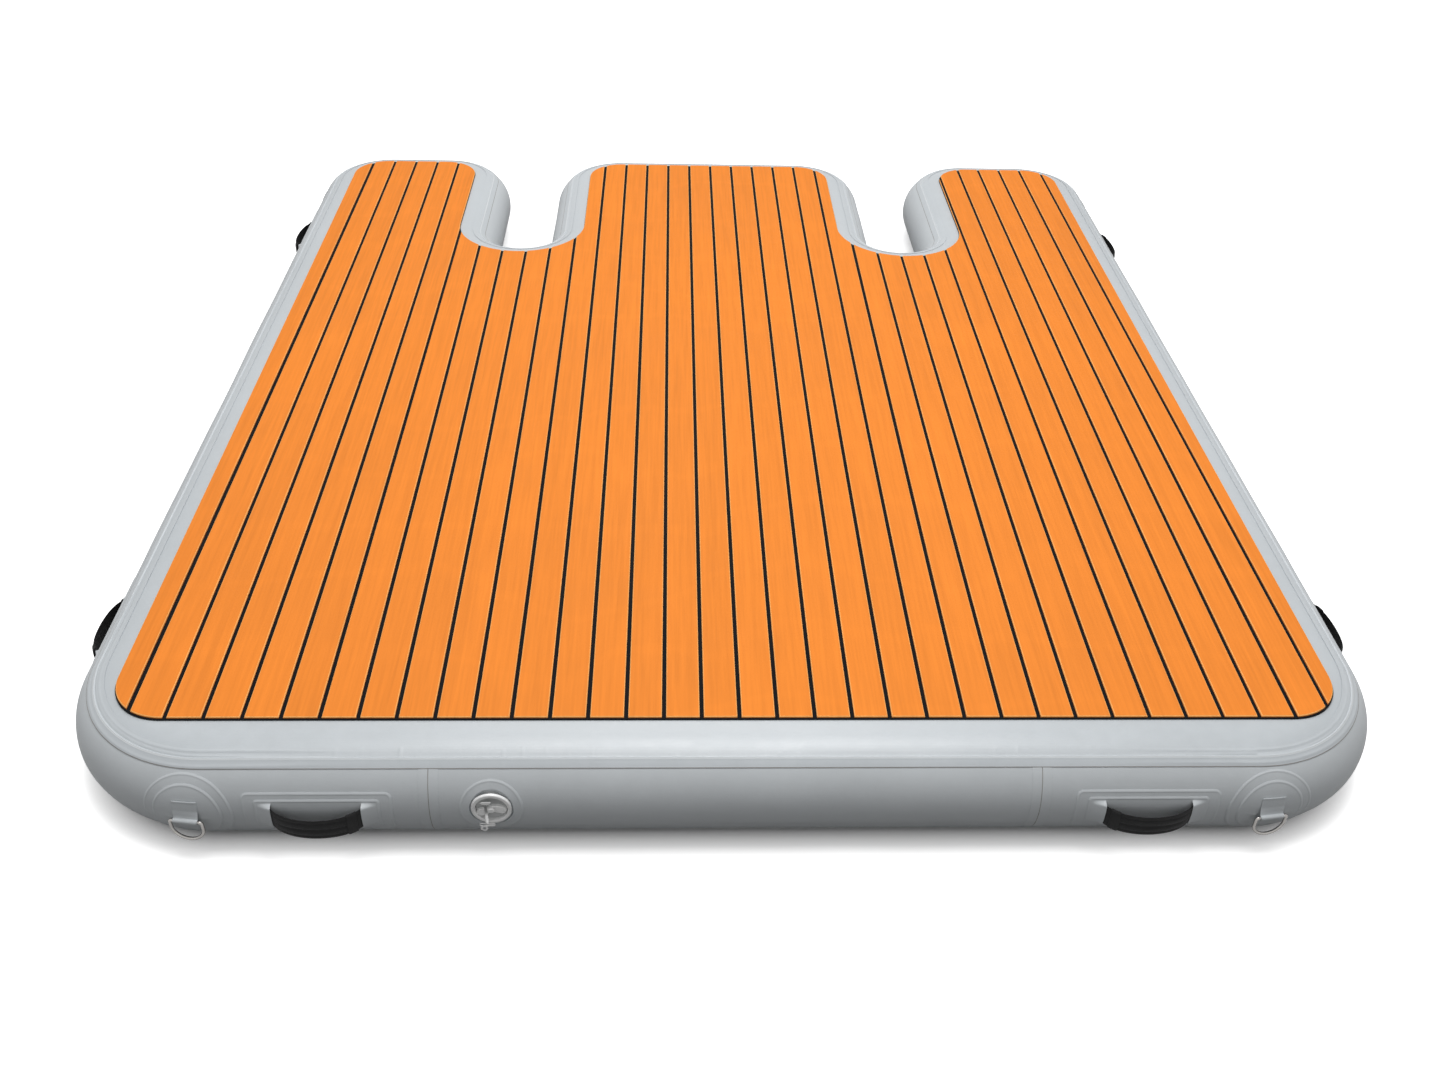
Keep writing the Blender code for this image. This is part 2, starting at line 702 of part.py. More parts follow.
def build_handles():
    """Six handles: two in the front and two along each side."""
    front_y = -PATH_HALF_LENGTH
    front_x = HULL_WIDTH / 2 - FRONT_HANDLE_FROM_SIDE
    side_y = HULL_LENGTH / 2 - SIDE_HANDLE_FROM_END
    places = {
        "front_left": (-front_x, front_y, 0),
        "front_right": (front_x, front_y, 0),
        "left_near": (-PATH_HALF_WIDTH, -side_y, -QUARTER),
        "left_far": (-PATH_HALF_WIDTH, side_y, -QUARTER),
        "right_near": (PATH_HALF_WIDTH, -side_y, QUARTER),
        "right_far": (PATH_HALF_WIDTH, side_y, QUARTER),
    }
    for which, (x, y, turn) in places.items():
        place = fitting_place(x, y, turn)
        handle_base(f"handle_base_{which}", place)
        handle_cover(f"handle_cover_{which}", place)
        handle_strap(f"handle_strap_{which}", place)


def ring_patch(name, place, diameter, lift, bend, folds):
    """A round patch under a mooring ring, with rows where its outline crosses a fold."""
    radius = diameter / 2
    crossings = [math.sqrt(radius * radius - fold * fold) for fold in folds if abs(fold) < radius]
    wanted = disc_rows(diameter) + crossings + [-crossing for crossing in crossings]
    columns = disc_columns(diameter, folds)
    mesh = sheet_mesh(patch_rows(wanted, radius), columns, lift, even_rise(PATCH_THICKNESS), bend)
    return add_object(name, mesh, PALETTE["grey_pvc"], place)


def ring_surface():
    """Distance from the rail's centre line to the face that a ring's tab is welded on."""
    return RAIL_OUT + 2 * PATCH_THICKNESS + 2 * SEAT_GAP


def ring_axis():
    """The mooring ring's hinge in a fitting's frame, as distance out and height."""
    return ring_surface() + BAR_STANDOFF, -BAR_DROP


def offset_line(points, distance):
    """The points of an open line moved sideways by a distance, mitred at its corners."""
    moved = []
    for index, point in enumerate(points):
        before = points[max(index - 1, 0)]
        after = points[min(index + 1, len(points) - 1)]
        entry = (Vector(point) - Vector(before)) if index else (Vector(after) - Vector(point))
        leave = (Vector(after) - Vector(point)) if index < len(points) - 1 else entry
        entry, leave = entry.normalized(), leave.normalized()
        middle = (entry + leave).normalized()
        stretch = 1 / max(middle.dot(entry), math.cos(QUARTER / 2))
        moved.append((
            point[0] - middle.y * distance * stretch,
            point[1] + middle.x * distance * stretch,
        ))
    return moved


def ring_tab(name, place, bend):
    """The welded tab: down the patch, round the ring's bar, and back to the patch below it."""
    lift = WALL_LIFT + 2 * PATCH_THICKNESS + 3 * SEAT_GAP + TAB_THICKNESS / 2
    bar_out, bar_up = ring_axis()
    loop = RING_WIRE / 2 + BAR_CLEARANCE + TAB_THICKNESS / 2
    edges = [(QUARTER - angle) * RAIL_RADIUS for angle in RAIL_ANGLES]
    bottom = bar_up - TAB_RETURNS_BELOW
    upper = [TAB_TOP] + [edge for edge in edges if TAB_LEAVES_ABOVE < edge < TAB_TOP] + [TAB_LEAVES_ABOVE]
    lower = [bottom] + [edge for edge in edges if bottom - TAB_TAIL < edge < bottom] + [bottom - TAB_TAIL]
    line = [rail_spot(QUARTER - girth / RAIL_RADIUS, lift) for girth in upper]
    for angle in even(TAB_WRAP_ANGLE, -TAB_WRAP_ANGLE, LOOP_FACETS):
        line.append((bar_out + loop * math.cos(angle), bar_up + loop * math.sin(angle)))
    line += [rail_spot(QUARTER - girth / RAIL_RADIUS, lift) for girth in lower]
    section = offset_line(line, TAB_THICKNESS / 2)
    section += reversed(offset_line(line, -TAB_THICKNESS / 2))
    rings = [[bend(x, out, up) for out, up in section] for x in (-TAB_WIDTH / 2, TAB_WIDTH / 2)]
    return add_object(name, loft(rings), PALETTE["grey_webbing"], place)


def mooring_ring(name, place, bend, turn):
    """A ring of round wire: a straight bar in the tab, and a half-round bow hanging from it."""
    side = (RING_WIDTH - RING_WIRE) / 2
    drop = RING_HEIGHT - RING_WIRE - side
    line = []
    for angle in even(QUARTER, 0, BEND_FACETS):
        line.append((side - RING_BEND * (1 - math.cos(angle)), RING_BEND * (math.sin(angle) - 1)))
    for angle in even(0, -math.pi, ROUND_FACETS // 2):
        line.append((side * math.cos(angle), side * math.sin(angle) - drop))
    for angle in even(math.pi, QUARTER, BEND_FACETS):
        line.append((RING_BEND * (1 + math.cos(angle)) - side, RING_BEND * (math.sin(angle) - 1)))
    rings = []
    for index, (x, z) in enumerate(line):
        before = Vector(line[index - 1])
        after = Vector(line[(index + 1) % len(line)])
        along = (after - before).normalized()
        ring = []
        for angle in even(0, 2 * math.pi, WIRE_FACETS)[:-1]:
            across = RING_WIRE / 2 * math.cos(angle)
            ring.append((x - along.y * across, RING_WIRE / 2 * math.sin(angle), z + along.x * across))
        rings.append(ring)
    bar_out, bar_up = ring_axis()
    hinge = Matrix.Translation(bend(0, bar_out, bar_up)) @ Matrix.Rotation(turn, 4, "Z")
    return add_object(name, loft(rings, True), PALETTE["stainless"], place @ hinge)


def build_rings():
    """Four mooring rings, one at each near corner and one on each outer lobe at the far end."""
    far_x = (PATH_HALF_WIDTH + SLOT_X + SLOT_PATH_RADIUS) / 2
    first_lift = WALL_LIFT + SEAT_GAP
    second_lift = first_lift + PATCH_THICKNESS + SEAT_GAP
    for side, word in ((-1, "left"), (1, "right")):
        folds = sorted((-side * RING_PAST_CORNER, side * (CORNER_CHORD - RING_PAST_CORNER)))
        near = fitting_place(side * NEAR_CORNER_X, -PATH_HALF_LENGTH, 0)
        far = fitting_place(side * far_x, PATH_HALF_LENGTH, math.pi)
        for which, place, bend, turn, edges in (
            (f"front_{word}", near, round_corner(side), side * CORNER_TURN / 2, folds),
            (f"rear_{word}", far, straight, 0, ()),
        ):
            ring_patch(f"ring_patch_{which}", place, RING_PATCH_DIAMETER, first_lift, bend, edges)
            ring_patch(f"ring_disc_{which}", place, RING_DISC_DIAMETER, second_lift, bend, edges)
            ring_tab(f"ring_tab_{which}", place, bend)
            mooring_ring(f"mooring_ring_{which}", place, bend, turn)


def turned(profile):
    """A solid turned about the fitting's outward axis from (radius, distance out) points."""
    mesh = bmesh.new()
    rings = []
    for radius, out in profile:
        if radius == 0:
            rings.append([mesh.verts.new((0, -out, 0))])
            continue
        rings.append([
            mesh.verts.new((radius * math.cos(angle), -out, radius * math.sin(angle)))
            for angle in even(0, 2 * math.pi, ROUND_FACETS)[:-1]
        ])
    pairs = list(zip(rings, rings[1:]))
    if len(rings[0]) > 1:
        pairs.append((rings[-1], rings[0]))
    for first, second in pairs:
        for index in range(ROUND_FACETS):
            after = (index + 1) % ROUND_FACETS
            corners = [first[index % len(first)], first[after % len(first)],
                       second[after % len(second)], second[index % len(second)]]
            if len(first) == 1 and len(second) == 1:
                continue
            mesh.faces.new(list(dict.fromkeys(corners)))
    return mesh


def box_mesh(low, high):
    """A box between two corners."""
    (x0, y0, z0), (x1, y1, z1) = low, high
    return prism([(x0, y0), (x1, y0), (x1, y1), (x0, y1)], z0, z1)


def valve_levels():
    """Distances out from the rail's centre line to the valve's faces."""
    floor = RAIL_RADIUS - RECESS_SINK
    flange_back = floor + SEAT_GAP + GASKET_THICKNESS + SEAT_GAP
    flange_front = flange_back + FLANGE_THICKNESS
    seat_top = flange_front - SEAT_DEPTH
    return floor, flange_back, flange_front, seat_top


def build_valve_body(place):
    """The flange, the tube that passes into the hull, and the seat with its ports."""
    _, back, front, seat = valve_levels()
    bowl = front - BOWL_DEPTH
    profile = [
        (BOWL_DIAMETER / 2, front),
        (FLANGE_DIAMETER / 2 - FLANGE_RIM, front),
        (FLANGE_DIAMETER / 2, front - FLANGE_RIM),
        (FLANGE_DIAMETER / 2, back),
        (NECK_DIAMETER / 2, back),
        (NECK_DIAMETER / 2, bowl - NECK_FLOOR),
        (TUBE_DIAMETER / 2, bowl - NECK_FLOOR),
        (TUBE_DIAMETER / 2, back - TUBE_LENGTH),
        (BORE_DIAMETER / 2, back - TUBE_LENGTH),
        (BORE_DIAMETER / 2, seat - SEAT_THICKNESS),
        (STEM_DIAMETER / 2 + STEM_CLEARANCE, seat - SEAT_THICKNESS),
        (STEM_DIAMETER / 2 + STEM_CLEARANCE, seat),
        (BORE_DIAMETER / 2, seat),
        (BORE_DIAMETER / 2, bowl),
        (BOWL_DIAMETER / 2, bowl),
    ]
    body = add_object("valve_body", turned(profile), PALETTE["white_plastic"], place)
    ports = bmesh.new()
    for step in range(PORT_COUNT):
        angle = 2 * math.pi * step / PORT_COUNT
        centre = (PORT_CIRCLE_DIAMETER / 2 * math.cos(angle), PORT_CIRCLE_DIAMETER / 2 * math.sin(angle))
        low = seat - SEAT_THICKNESS - CUT_OVERRUN / 2
        high = seat + CUT_OVERRUN / 2
        bmesh.ops.create_cone(
            ports, cap_ends=True, segments=ROUND_FACETS // 2,
            radius1=PORT_DIAMETER / 2, radius2=PORT_DIAMETER / 2, depth=high - low,
            matrix=Matrix.Translation((centre[0], -(low + high) / 2, centre[1]))
            @ Matrix.Rotation(QUARTER, 4, "X"),
        )
    combine(body, add_cutter("valve_ports", ports, place), "DIFFERENCE")
    return body


def ring_mesh(inner, outer, low, high):
    """A plain ring about the outward axis."""
    return turned([(inner / 2, high), (outer / 2, high), (outer / 2, low), (inner / 2, low)])


def build_valve_fixings(place):
    """The gasket under the flange and the nut that clamps the skin from inside."""
    floor, back, _, _ = valve_levels()
    neck_bore = NECK_DIAMETER + 2 * STEM_CLEARANCE
    gasket = ring_mesh(neck_bore, FLANGE_DIAMETER, floor + SEAT_GAP, back - SEAT_GAP)
    add_object("valve_gasket", gasket, PALETTE["grey_rubber"], place)
    top = floor - NUT_SINK
    nut = ring_mesh(TUBE_DIAMETER + 2 * STEM_CLEARANCE, NUT_DIAMETER, top - NUT_HEIGHT, top)
    add_object("valve_nut", nut, PALETTE["white_plastic"], place)


def build_poppet(place):
    """The poppet: a button and stem over the seat, and the disc that closes the ports from inside."""
    _, _, _, seat = valve_levels()
    under = seat - SEAT_THICKNESS - SEAT_GAP
    button_low = seat + BUTTON_STANDOFF
    profile = [
        (0, button_low + BUTTON_THICKNESS),
        (BUTTON_DIAMETER / 2, button_low + BUTTON_THICKNESS),
        (BUTTON_DIAMETER / 2, button_low),
        (STEM_DIAMETER / 2, button_low),
        (STEM_DIAMETER / 2, under),
        (POPPET_DIAMETER / 2, under),
        (POPPET_DIAMETER / 2, under - POPPET_THICKNESS),
        (0, under - POPPET_THICKNESS),
    ]
    add_object("valve_poppet", turned(profile), PALETTE["grey_rubber"], place)

    gap = SEAT_GAP + SPRING_WIRE / 2
    low, high = seat + gap, button_low - gap
    radius = (SPRING_DIAMETER - SPRING_WIRE) / 2
    steps = SPRING_TURNS * SPRING_FACETS
    rings = []
    for step in range(steps + 1):
        angle = 2 * math.pi * SPRING_TURNS * step / steps
        out = low + (high - low) * step / steps
        ring = []
        for around in even(0, 2 * math.pi, SPRING_WIRE_FACETS)[:-1]:
            reach = radius + SPRING_WIRE / 2 * math.cos(around)
            ring.append((
                reach * math.cos(angle),
                -out - SPRING_WIRE / 2 * math.sin(around),
                reach * math.sin(angle),
            ))
        rings.append(ring)
    add_object("valve_spring", loft(rings), PALETTE["stainless"], place)


def build_cap(place):
    """The screw cap: a disc with a skirt in the bore, a broad grip, and a headed post for the strip."""
    _, _, front, _ = valve_levels()
    back = front - BOWL_DEPTH + SEAT_GAP
    face = back + CAP_THICKNESS
    skirt = BORE_DIAMETER / 2 - CAP_CLEARANCE
    head_back = front + STRIP_THICKNESS + 2 * SEAT_GAP
    profile = [
        (0, head_back + POST_HEAD_THICKNESS),
        (POST_HEAD_DIAMETER / 2, head_back + POST_HEAD_THICKNESS),
        (POST_HEAD_DIAMETER / 2, head_back),
        (POST_DIAMETER / 2, head_back),
        (POST_DIAMETER / 2, face),
        (BOWL_DIAMETER / 2 - CAP_CLEARANCE, face),
        (BOWL_DIAMETER / 2 - CAP_CLEARANCE, back),
        (skirt, back),
        (skirt, back - SKIRT_LENGTH),
        (skirt - SKIRT_WALL, back - SKIRT_LENGTH),
        (skirt - SKIRT_WALL, back),
        (0, back),
    ]
    cap = add_object("valve_cap", turned(profile), PALETTE["white_plastic"], place)
    grip = box_mesh(
        (-GRIP_LENGTH / 2, -face - GRIP_HEIGHT, -GRIP_WIDTH / 2),
        (GRIP_LENGTH / 2, -face + CAP_THICKNESS / 2, GRIP_WIDTH / 2),
    )
    combine(cap, add_cutter("cap_grip", grip, place), "UNION")
    return cap


def build_strip(place):
    """The retaining strip: an eye round the cap's post, a T-headed bar beside it, two ears and a loop."""
    _, _, front, _ = valve_levels()
    face = front + SEAT_GAP
    high = face + STRIP_THICKNESS
    strip = add_object(
        "cap_strip",
        ring_mesh(POST_DIAMETER + 2 * EYE_CLEARANCE, EYE_DIAMETER, face, high),
        PALETTE["white_plastic"], place,
    )
    eye_middle = (EYE_DIAMETER + POST_DIAMETER) / 4
    half_width = STRIP_WIDTH / 2
    bars = {
        "strip_arm": ((-STRIP_OFFSET, -half_width), (-eye_middle, half_width)),
        "strip_bar": ((-STRIP_OFFSET - half_width, -STRIP_DROP), (-STRIP_OFFSET + half_width, STRIP_TOP)),
        "strip_crossbar": ((-STRIP_OFFSET - CROSSBAR_SPAN / 2, STRIP_TOP - CROSSBAR_HEIGHT),
                           (-STRIP_OFFSET + CROSSBAR_SPAN / 2, STRIP_TOP)),
        "strip_ears": ((-STRIP_OFFSET - EAR_SPAN / 2, -STRIP_DROP),
                       (-STRIP_OFFSET + EAR_SPAN / 2, EAR_HEIGHT - STRIP_DROP)),
    }
    for name, ((x0, z0), (x1, z1)) in bars.items():
        bar = box_mesh((x0, -high, z0), (x1, -face, z1))
        combine(strip, add_cutter(name, bar, place), "UNION")
    loop_x = -STRIP_OFFSET - LOOP_OFFSET
    loop_z = -STRIP_DROP + LOOP_LAP - LOOP_DIAMETER / 2
    loop = ring_mesh(LOOP_HOLE_DIAMETER, LOOP_DIAMETER, face, high)
    loop_place = place @ Matrix.Translation((loop_x, 0, loop_z))
    combine(strip, add_cutter("strip_loop", loop, loop_place), "UNION")
    return strip


def build_valve(chamber, wall):
    """The valve set into the front rail, with the recess, pocket and holes that it needs."""
    place = fitting_place(VALVE_X, -PATH_HALF_LENGTH, 0, VALVE_RISE)
    floor, _, _, _ = valve_levels()
    beyond = RAIL_OUT + CUT_OVERRUN
    shapes = turned([
        (0, beyond),
        (RECESS_DIAMETER / 2, beyond),
        (RECESS_DIAMETER / 2, floor),
        (POCKET_DIAMETER / 2, floor),
        (POCKET_DIAMETER / 2, floor - POCKET_DEPTH),
        (0, floor - POCKET_DEPTH),
    ])
    cutter = add_cutter("valve_pocket", shapes, place)
    diameter = VALVE_PATCH_DIAMETER
    rows = patch_rows([row + VALVE_RISE for row in disc_rows(diameter)], diameter / 2 + VALVE_RISE)
    rows = [row for row in rows if abs(row - VALVE_RISE) <= diameter / 2]
    around = disc_columns(diameter)
    mesh = sheet_mesh(
        rows, lambda girth: around(girth - VALVE_RISE), WALL_LIFT + SEAT_GAP, even_rise(PATCH_THICKNESS),
    )
    patch = add_object("valve_patch", mesh, PALETTE["grey_pvc"],
                       fitting_place(VALVE_X, -PATH_HALF_LENGTH, 0))
    for target in (chamber, wall, patch):
        combine(target, cutter, "DIFFERENCE")
    build_valve_body(place)
    build_valve_fixings(place)
    build_poppet(place)
    build_cap(place)
    build_strip(place)


PALETTE = {
    "grey_pvc": ((0.42, 0.45, 0.48), 0.42),
    "grey_tape": ((0.36, 0.39, 0.41), 0.48),
    "deck_foam": ((0.86, 0.29, 0.06), 0.75),
    "black_webbing": ((0.012, 0.012, 0.013), 0.8),
    "grey_webbing": ((0.45, 0.47, 0.49), 0.55),
    "grey_rubber": ((0.2, 0.21, 0.22), 0.6),
    "white_plastic": ((0.85, 0.85, 0.85), 0.35),
    "stainless": ((0.55, 0.54, 0.53), 0.25, 1.0),
}


def build():
    """The whole platform, from an empty scene."""
    for existing in list(bpy.data.objects):
        bpy.data.objects.remove(existing, do_unlink=True)
    chamber = build_chamber()
    walls = build_walls()
    build_joint_covers()
    build_tapes()
    build_deck()
    build_handles()
    build_rings()
    build_valve(chamber, walls["side_wall_front"])


build()
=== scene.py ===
"""Looks of the inflatable dock platform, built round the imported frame.

Metres, +Z up, in the frame's own axes: the origin is the centre of the underside, the valve is at the
-Y end and the slots open towards +Y. A fitting is drawn in its own frame: x runs to the right as seen
from outside, -y points out of the hull, and z is measured from the height of the rail's centre line.
"""

import math
from functools import cached_property

import bmesh
import bpy
import numpy as np
from mathutils import Matrix, Vector


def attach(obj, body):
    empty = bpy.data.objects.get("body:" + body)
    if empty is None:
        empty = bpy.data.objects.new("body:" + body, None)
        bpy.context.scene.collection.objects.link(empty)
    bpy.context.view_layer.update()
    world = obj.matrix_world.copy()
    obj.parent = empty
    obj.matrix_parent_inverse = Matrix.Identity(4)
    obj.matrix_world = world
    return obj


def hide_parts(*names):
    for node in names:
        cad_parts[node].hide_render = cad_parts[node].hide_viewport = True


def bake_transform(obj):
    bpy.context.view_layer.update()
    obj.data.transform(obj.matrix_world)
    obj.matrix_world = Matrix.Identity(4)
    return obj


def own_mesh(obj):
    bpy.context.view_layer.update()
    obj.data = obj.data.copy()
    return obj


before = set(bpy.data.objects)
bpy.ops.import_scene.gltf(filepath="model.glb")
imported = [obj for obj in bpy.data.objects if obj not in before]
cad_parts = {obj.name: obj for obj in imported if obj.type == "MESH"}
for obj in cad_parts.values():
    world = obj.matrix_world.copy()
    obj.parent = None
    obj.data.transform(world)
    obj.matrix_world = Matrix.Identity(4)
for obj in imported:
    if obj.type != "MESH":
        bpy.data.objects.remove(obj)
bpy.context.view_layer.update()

# Hull: overall size over the side walls, and the plan of the slots at mid height
HULL_WIDTH = 2.438
HULL_LENGTH = 2.743
HULL_HEIGHT = 0.2032
NEAR_CORNER_RADIUS = 0.297
FAR_CORNER_RADIUS = 0.2084
LOBE_RADIUS = 0.2034
OUTER_LOBE_WIDTH = 0.5845
SLOT_GAP = 0.154
SLOT_DEPTH = 0.643

# Welded skins
SEAT_GAP = 0.0003
WALL_THICKNESS = 0.0015
WALL_WIDTH = 0.205
TAPE_THICKNESS = 0.0008
TAPE_LAP_ON_SKIN = 0.022
TAPE_LAP_ON_WALL = 0.0174
FRONT_JOINT_FROM_SIDE = 0.685
REAR_JOINT_FROM_END = 0.26
JOINT_COVER_WIDTH = 0.035

# Foam deck
DECK_SIDE_MARGIN = 0.0005
DECK_FRONT_MARGIN = 0.0225
DECK_SHEET_THICKNESS = 0.0025
DECK_SHEET_BEVEL = 0.0006
# The near edge's wider border shows a strip of the black sheet, which stands for the sheet's edge and also
# for painted shadow along that edge
DECK_NEAR_BORDER_AND_SHADE = 0.003
DECK_SIDE_BORDER = 0.0009
PLANK_PITCH = 0.0672
GROOVE_SHIFT = 0.0055
PLANK_THICKNESS = 0.0035
PLANK_BEVEL = 0.0017
GROOVE_WIDTH = 0.0075
DECK_NEAR_CORNER_RADIUS = 0.106
DECK_FAR_CORNER_RADIUS = 0.1

# Handles
FRONT_HANDLE_FROM_SIDE = 0.4935
SIDE_HANDLE_FROM_END = 0.4715
HANDLE_BASE_LENGTH = 0.258
HANDLE_BASE_HEIGHT = 0.092
HANDLE_COVER_LENGTH = 0.216
HANDLE_COVER_HEIGHT = 0.067
PATCH_THICKNESS = 0.001
PATCH_CORNER = 0.012
POCKET_SPACING = 0.154
POCKET_LENGTH = 0.026
POCKET_RISE = 0.0095
POCKET_HEIGHT = 0.045
STRAP_AXIS_LIFT = 0.01
STRAP_HEIGHT = 0.044
STRAP_BOW = 0.017
STRAP_DIP = 0.003
STRAP_SAG = 0.0055
STRAP_WEB = 0.0024
STRAP_PAD = 0.0024
STRAP_TUCK = 0.009
STRAP_TUCK_DROP = 0.0025
CUFF_WIDTH = 0.019
CUFF_WALL = 0.0011

# Mooring rings
RING_PAST_CORNER = 0.028
RING_FLATS = 6
RING_PATCH_DIAMETER = 0.16
RING_DISC_DIAMETER = 0.123
RING_WIDTH = 0.063
RING_HEIGHT = 0.05
RING_WIRE = 0.006
RING_BEND = 0.004
TAB_WIDTH = 0.046
TAB_TAPER = 0.05
TAB_THICKNESS = 0.0014
TAB_TOP = 0.03
TAB_LEAVES_ABOVE = 0.011
TAB_RETURNS_BELOW = 0.013
TAB_TAIL = 0.011
BAR_CLEARANCE = 0.0004
TAB_WRAP_ANGLE = math.radians(115)
BAR_STANDOFF = 0.0095
BAR_DROP = 0.0066

# Air valve
VALVE_FROM_JOINT = 0.107
VALVE_RISE = 0.012
VALVE_PATCH_DIAMETER = 0.112
RECESS_DIAMETER = 0.0765
RECESS_SINK = 0.0035
POCKET_DIAMETER = 0.066
POCKET_DEPTH = 0.05
FLANGE_DIAMETER = 0.071
FLANGE_THICKNESS = 0.0045
FLANGE_RIM = 0.0012
GASKET_THICKNESS = 0.001
BOWL_DIAMETER = 0.056
BOWL_DEPTH = 0.009
NECK_DIAMETER = 0.06
NECK_FLOOR = 0.0025
TUBE_DIAMETER = 0.052
TUBE_LENGTH = 0.038
BORE_DIAMETER = 0.045
SEAT_DEPTH = 0.024
SEAT_THICKNESS = 0.003
STEM_DIAMETER = 0.006
STEM_CLEARANCE = 0.0004
MOULD_EDGE = 0.0004
CAP_THICKNESS = 0.003
CAP_CLEARANCE = 0.0006
CAP_RIM_WIDTH = 0.006
CAP_RIM_SLOPE = 0.0015
CAP_ROUND = 0.001
SKIRT_LENGTH = 0.009
SKIRT_WALL = 0.002
POST_DIAMETER = 0.006
POST_HEAD_DIAMETER = 0.01
POST_HEAD_THICKNESS = 0.0015
GRIP_HEIGHT = 0.0053
GRIP_ROUND = 0.0012
STRIP_THICKNESS = 0.0016
STRIP_WIDTH = 0.0055
STRIP_CORNER = 0.0006
STRIP_OFFSET = 0.009
STRIP_TOP = 0.0205
STRIP_DROP = 0.041
STRIP_LAP = 0.001
CROSSBAR_SPAN = 0.019
CROSSBAR_HEIGHT = 0.0045
EYE_CLEARANCE = 0.0004
EYE_DIAMETER = 0.0125
EAR_SPAN = 0.028
EAR_HEIGHT = 0.0075
EAR_HOLE_HALF_LENGTH = 0.0042
EAR_HOLE_WALL = 0.0022
EAR_HOLE_CORNER = 0.0012
LOOP_OFFSET = 0.006
LOOP_DIAMETER = 0.013
LOOP_HOLE_DIAMETER = 0.006
LOOP_LAP = 0.0015

# Worked out from the sizes above
QUARTER = math.pi / 2
SIDES = {"left": -1, "right": 1}
RAIL_RADIUS = HULL_HEIGHT / 2
WALL_LIFT = SEAT_GAP + WALL_THICKNESS
ON_WALL = WALL_LIFT + SEAT_GAP
ON_PATCH = ON_WALL + PATCH_THICKNESS + SEAT_GAP
RAIL_OUT = RAIL_RADIUS + WALL_LIFT
PATCHES_OUT = RAIL_OUT + 2 * PATCH_THICKNESS + 2 * SEAT_GAP
PATH_HALF_WIDTH = HULL_WIDTH / 2 - RAIL_OUT
PATH_HALF_LENGTH = HULL_LENGTH / 2 - RAIL_OUT
NEAR_PATH_RADIUS = NEAR_CORNER_RADIUS - RAIL_OUT
FAR_PATH_RADIUS = FAR_CORNER_RADIUS - RAIL_OUT
NEAR_CORNER_X = PATH_HALF_WIDTH - NEAR_PATH_RADIUS
LOBE_PATH_RADIUS = LOBE_RADIUS - RAIL_OUT
SLOT_PATH_RADIUS = SLOT_GAP / 2 + RAIL_OUT
SLOT_X = HULL_WIDTH / 2 - OUTER_LOBE_WIDTH - SLOT_GAP / 2
SLOT_Y = HULL_LENGTH / 2 - SLOT_DEPTH + SLOT_GAP / 2
FRONT_JOINT_X = HULL_WIDTH / 2 - FRONT_JOINT_FROM_SIDE
FRONT_HANDLE_X = HULL_WIDTH / 2 - FRONT_HANDLE_FROM_SIDE
SIDE_HANDLE_Y = HULL_LENGTH / 2 - SIDE_HANDLE_FROM_END
FAR_RING_X = (PATH_HALF_WIDTH + SLOT_X + SLOT_PATH_RADIUS) / 2
WALL_TOP_ANGLE = QUARTER - WALL_WIDTH / 2 / RAIL_RADIUS
TAPE_TOP_ANGLE = WALL_TOP_ANGLE - TAPE_LAP_ON_SKIN / RAIL_RADIUS
TAPE_LOW_ANGLE = WALL_TOP_ANGLE + TAPE_LAP_ON_WALL / RAIL_RADIUS
DECK_LOW = HULL_HEIGHT + SEAT_GAP
DECK_SHEET_TOP = DECK_LOW + DECK_SHEET_THICKNESS
STRAP_AXIS_OUT = PATCHES_OUT + STRAP_AXIS_LIFT
BAR_OUT = PATCHES_OUT + BAR_STANDOFF
BAR_UP = -BAR_DROP
VALVE_FLOOR = RAIL_RADIUS - RECESS_SINK
FLANGE_BACK = VALVE_FLOOR + SEAT_GAP + GASKET_THICKNESS + SEAT_GAP
FLANGE_FRONT = FLANGE_BACK + FLANGE_THICKNESS
VALVE_SEAT = FLANGE_FRONT - SEAT_DEPTH

# Camera: a wide view from above the near end, as in the photograph
PHOTO_WIDTH = 1448
PHOTO_FOCAL = 1362.2
PHOTO_CENTRE_X = 724.6
SENSOR_WIDTH = 36.0
CAMERA_PLACE = (-0.1201, -2.9716, 1.9286)
CAMERA_PITCH = 0.65512
CAMERA_YAW = 0.05087
CAMERA_ROLL = 0.03497

random = np.random.RandomState(11)


# Small mesh tools

SMOOTH_ANGLE = math.radians(38)
CLOTH_SMOOTH_ANGLE = math.radians(50)
PLANK_SMOOTH_ANGLE = math.radians(25)


def even(start, end, count):
    """count + 1 evenly spaced values from start to end."""
    return [start + (end - start) * step / count for step in range(count + 1)]


def bridge(start, end, count):
    """Points between two others, both left out."""
    return [tuple(a + (b - a) * share for a, b in zip(start, end)) for share in even(0, 1, count)[1:-1]]


def smooth_step(value):
    """0 below 0, 1 above 1, and an even curve between."""
    held = np.clip(value, 0, 1)
    return held * held * (3 - 2 * held)


def new_object(name, data):
    """A new object in the scene."""
    made = bpy.data.objects.new(name, data)
    bpy.context.scene.collection.objects.link(made)
    return made


def make_object(name, points, faces, materials, smooth=SMOOTH_ANGLE):
    """An object with closed, outward facing skin from points and faces."""
    data = bpy.data.meshes.new(name)
    data.from_pydata([tuple(point) for point in points], [], faces)
    mesh = bmesh.new()
    mesh.from_mesh(data)
    bmesh.ops.recalc_face_normals(mesh, faces=mesh.faces)
    mesh.to_mesh(data)
    mesh.free()
    data.shade_smooth()
    data.set_sharp_from_angle(angle=smooth)
    for each in materials if isinstance(materials, list) else [materials]:
        data.materials.append(each)
    return new_object(name, data)


def mark_faces(piece, chosen, material=1):
    """Give the chosen faces of a piece another of its materials."""
    for number in chosen:
        piece.data.polygons[number].material_index = material


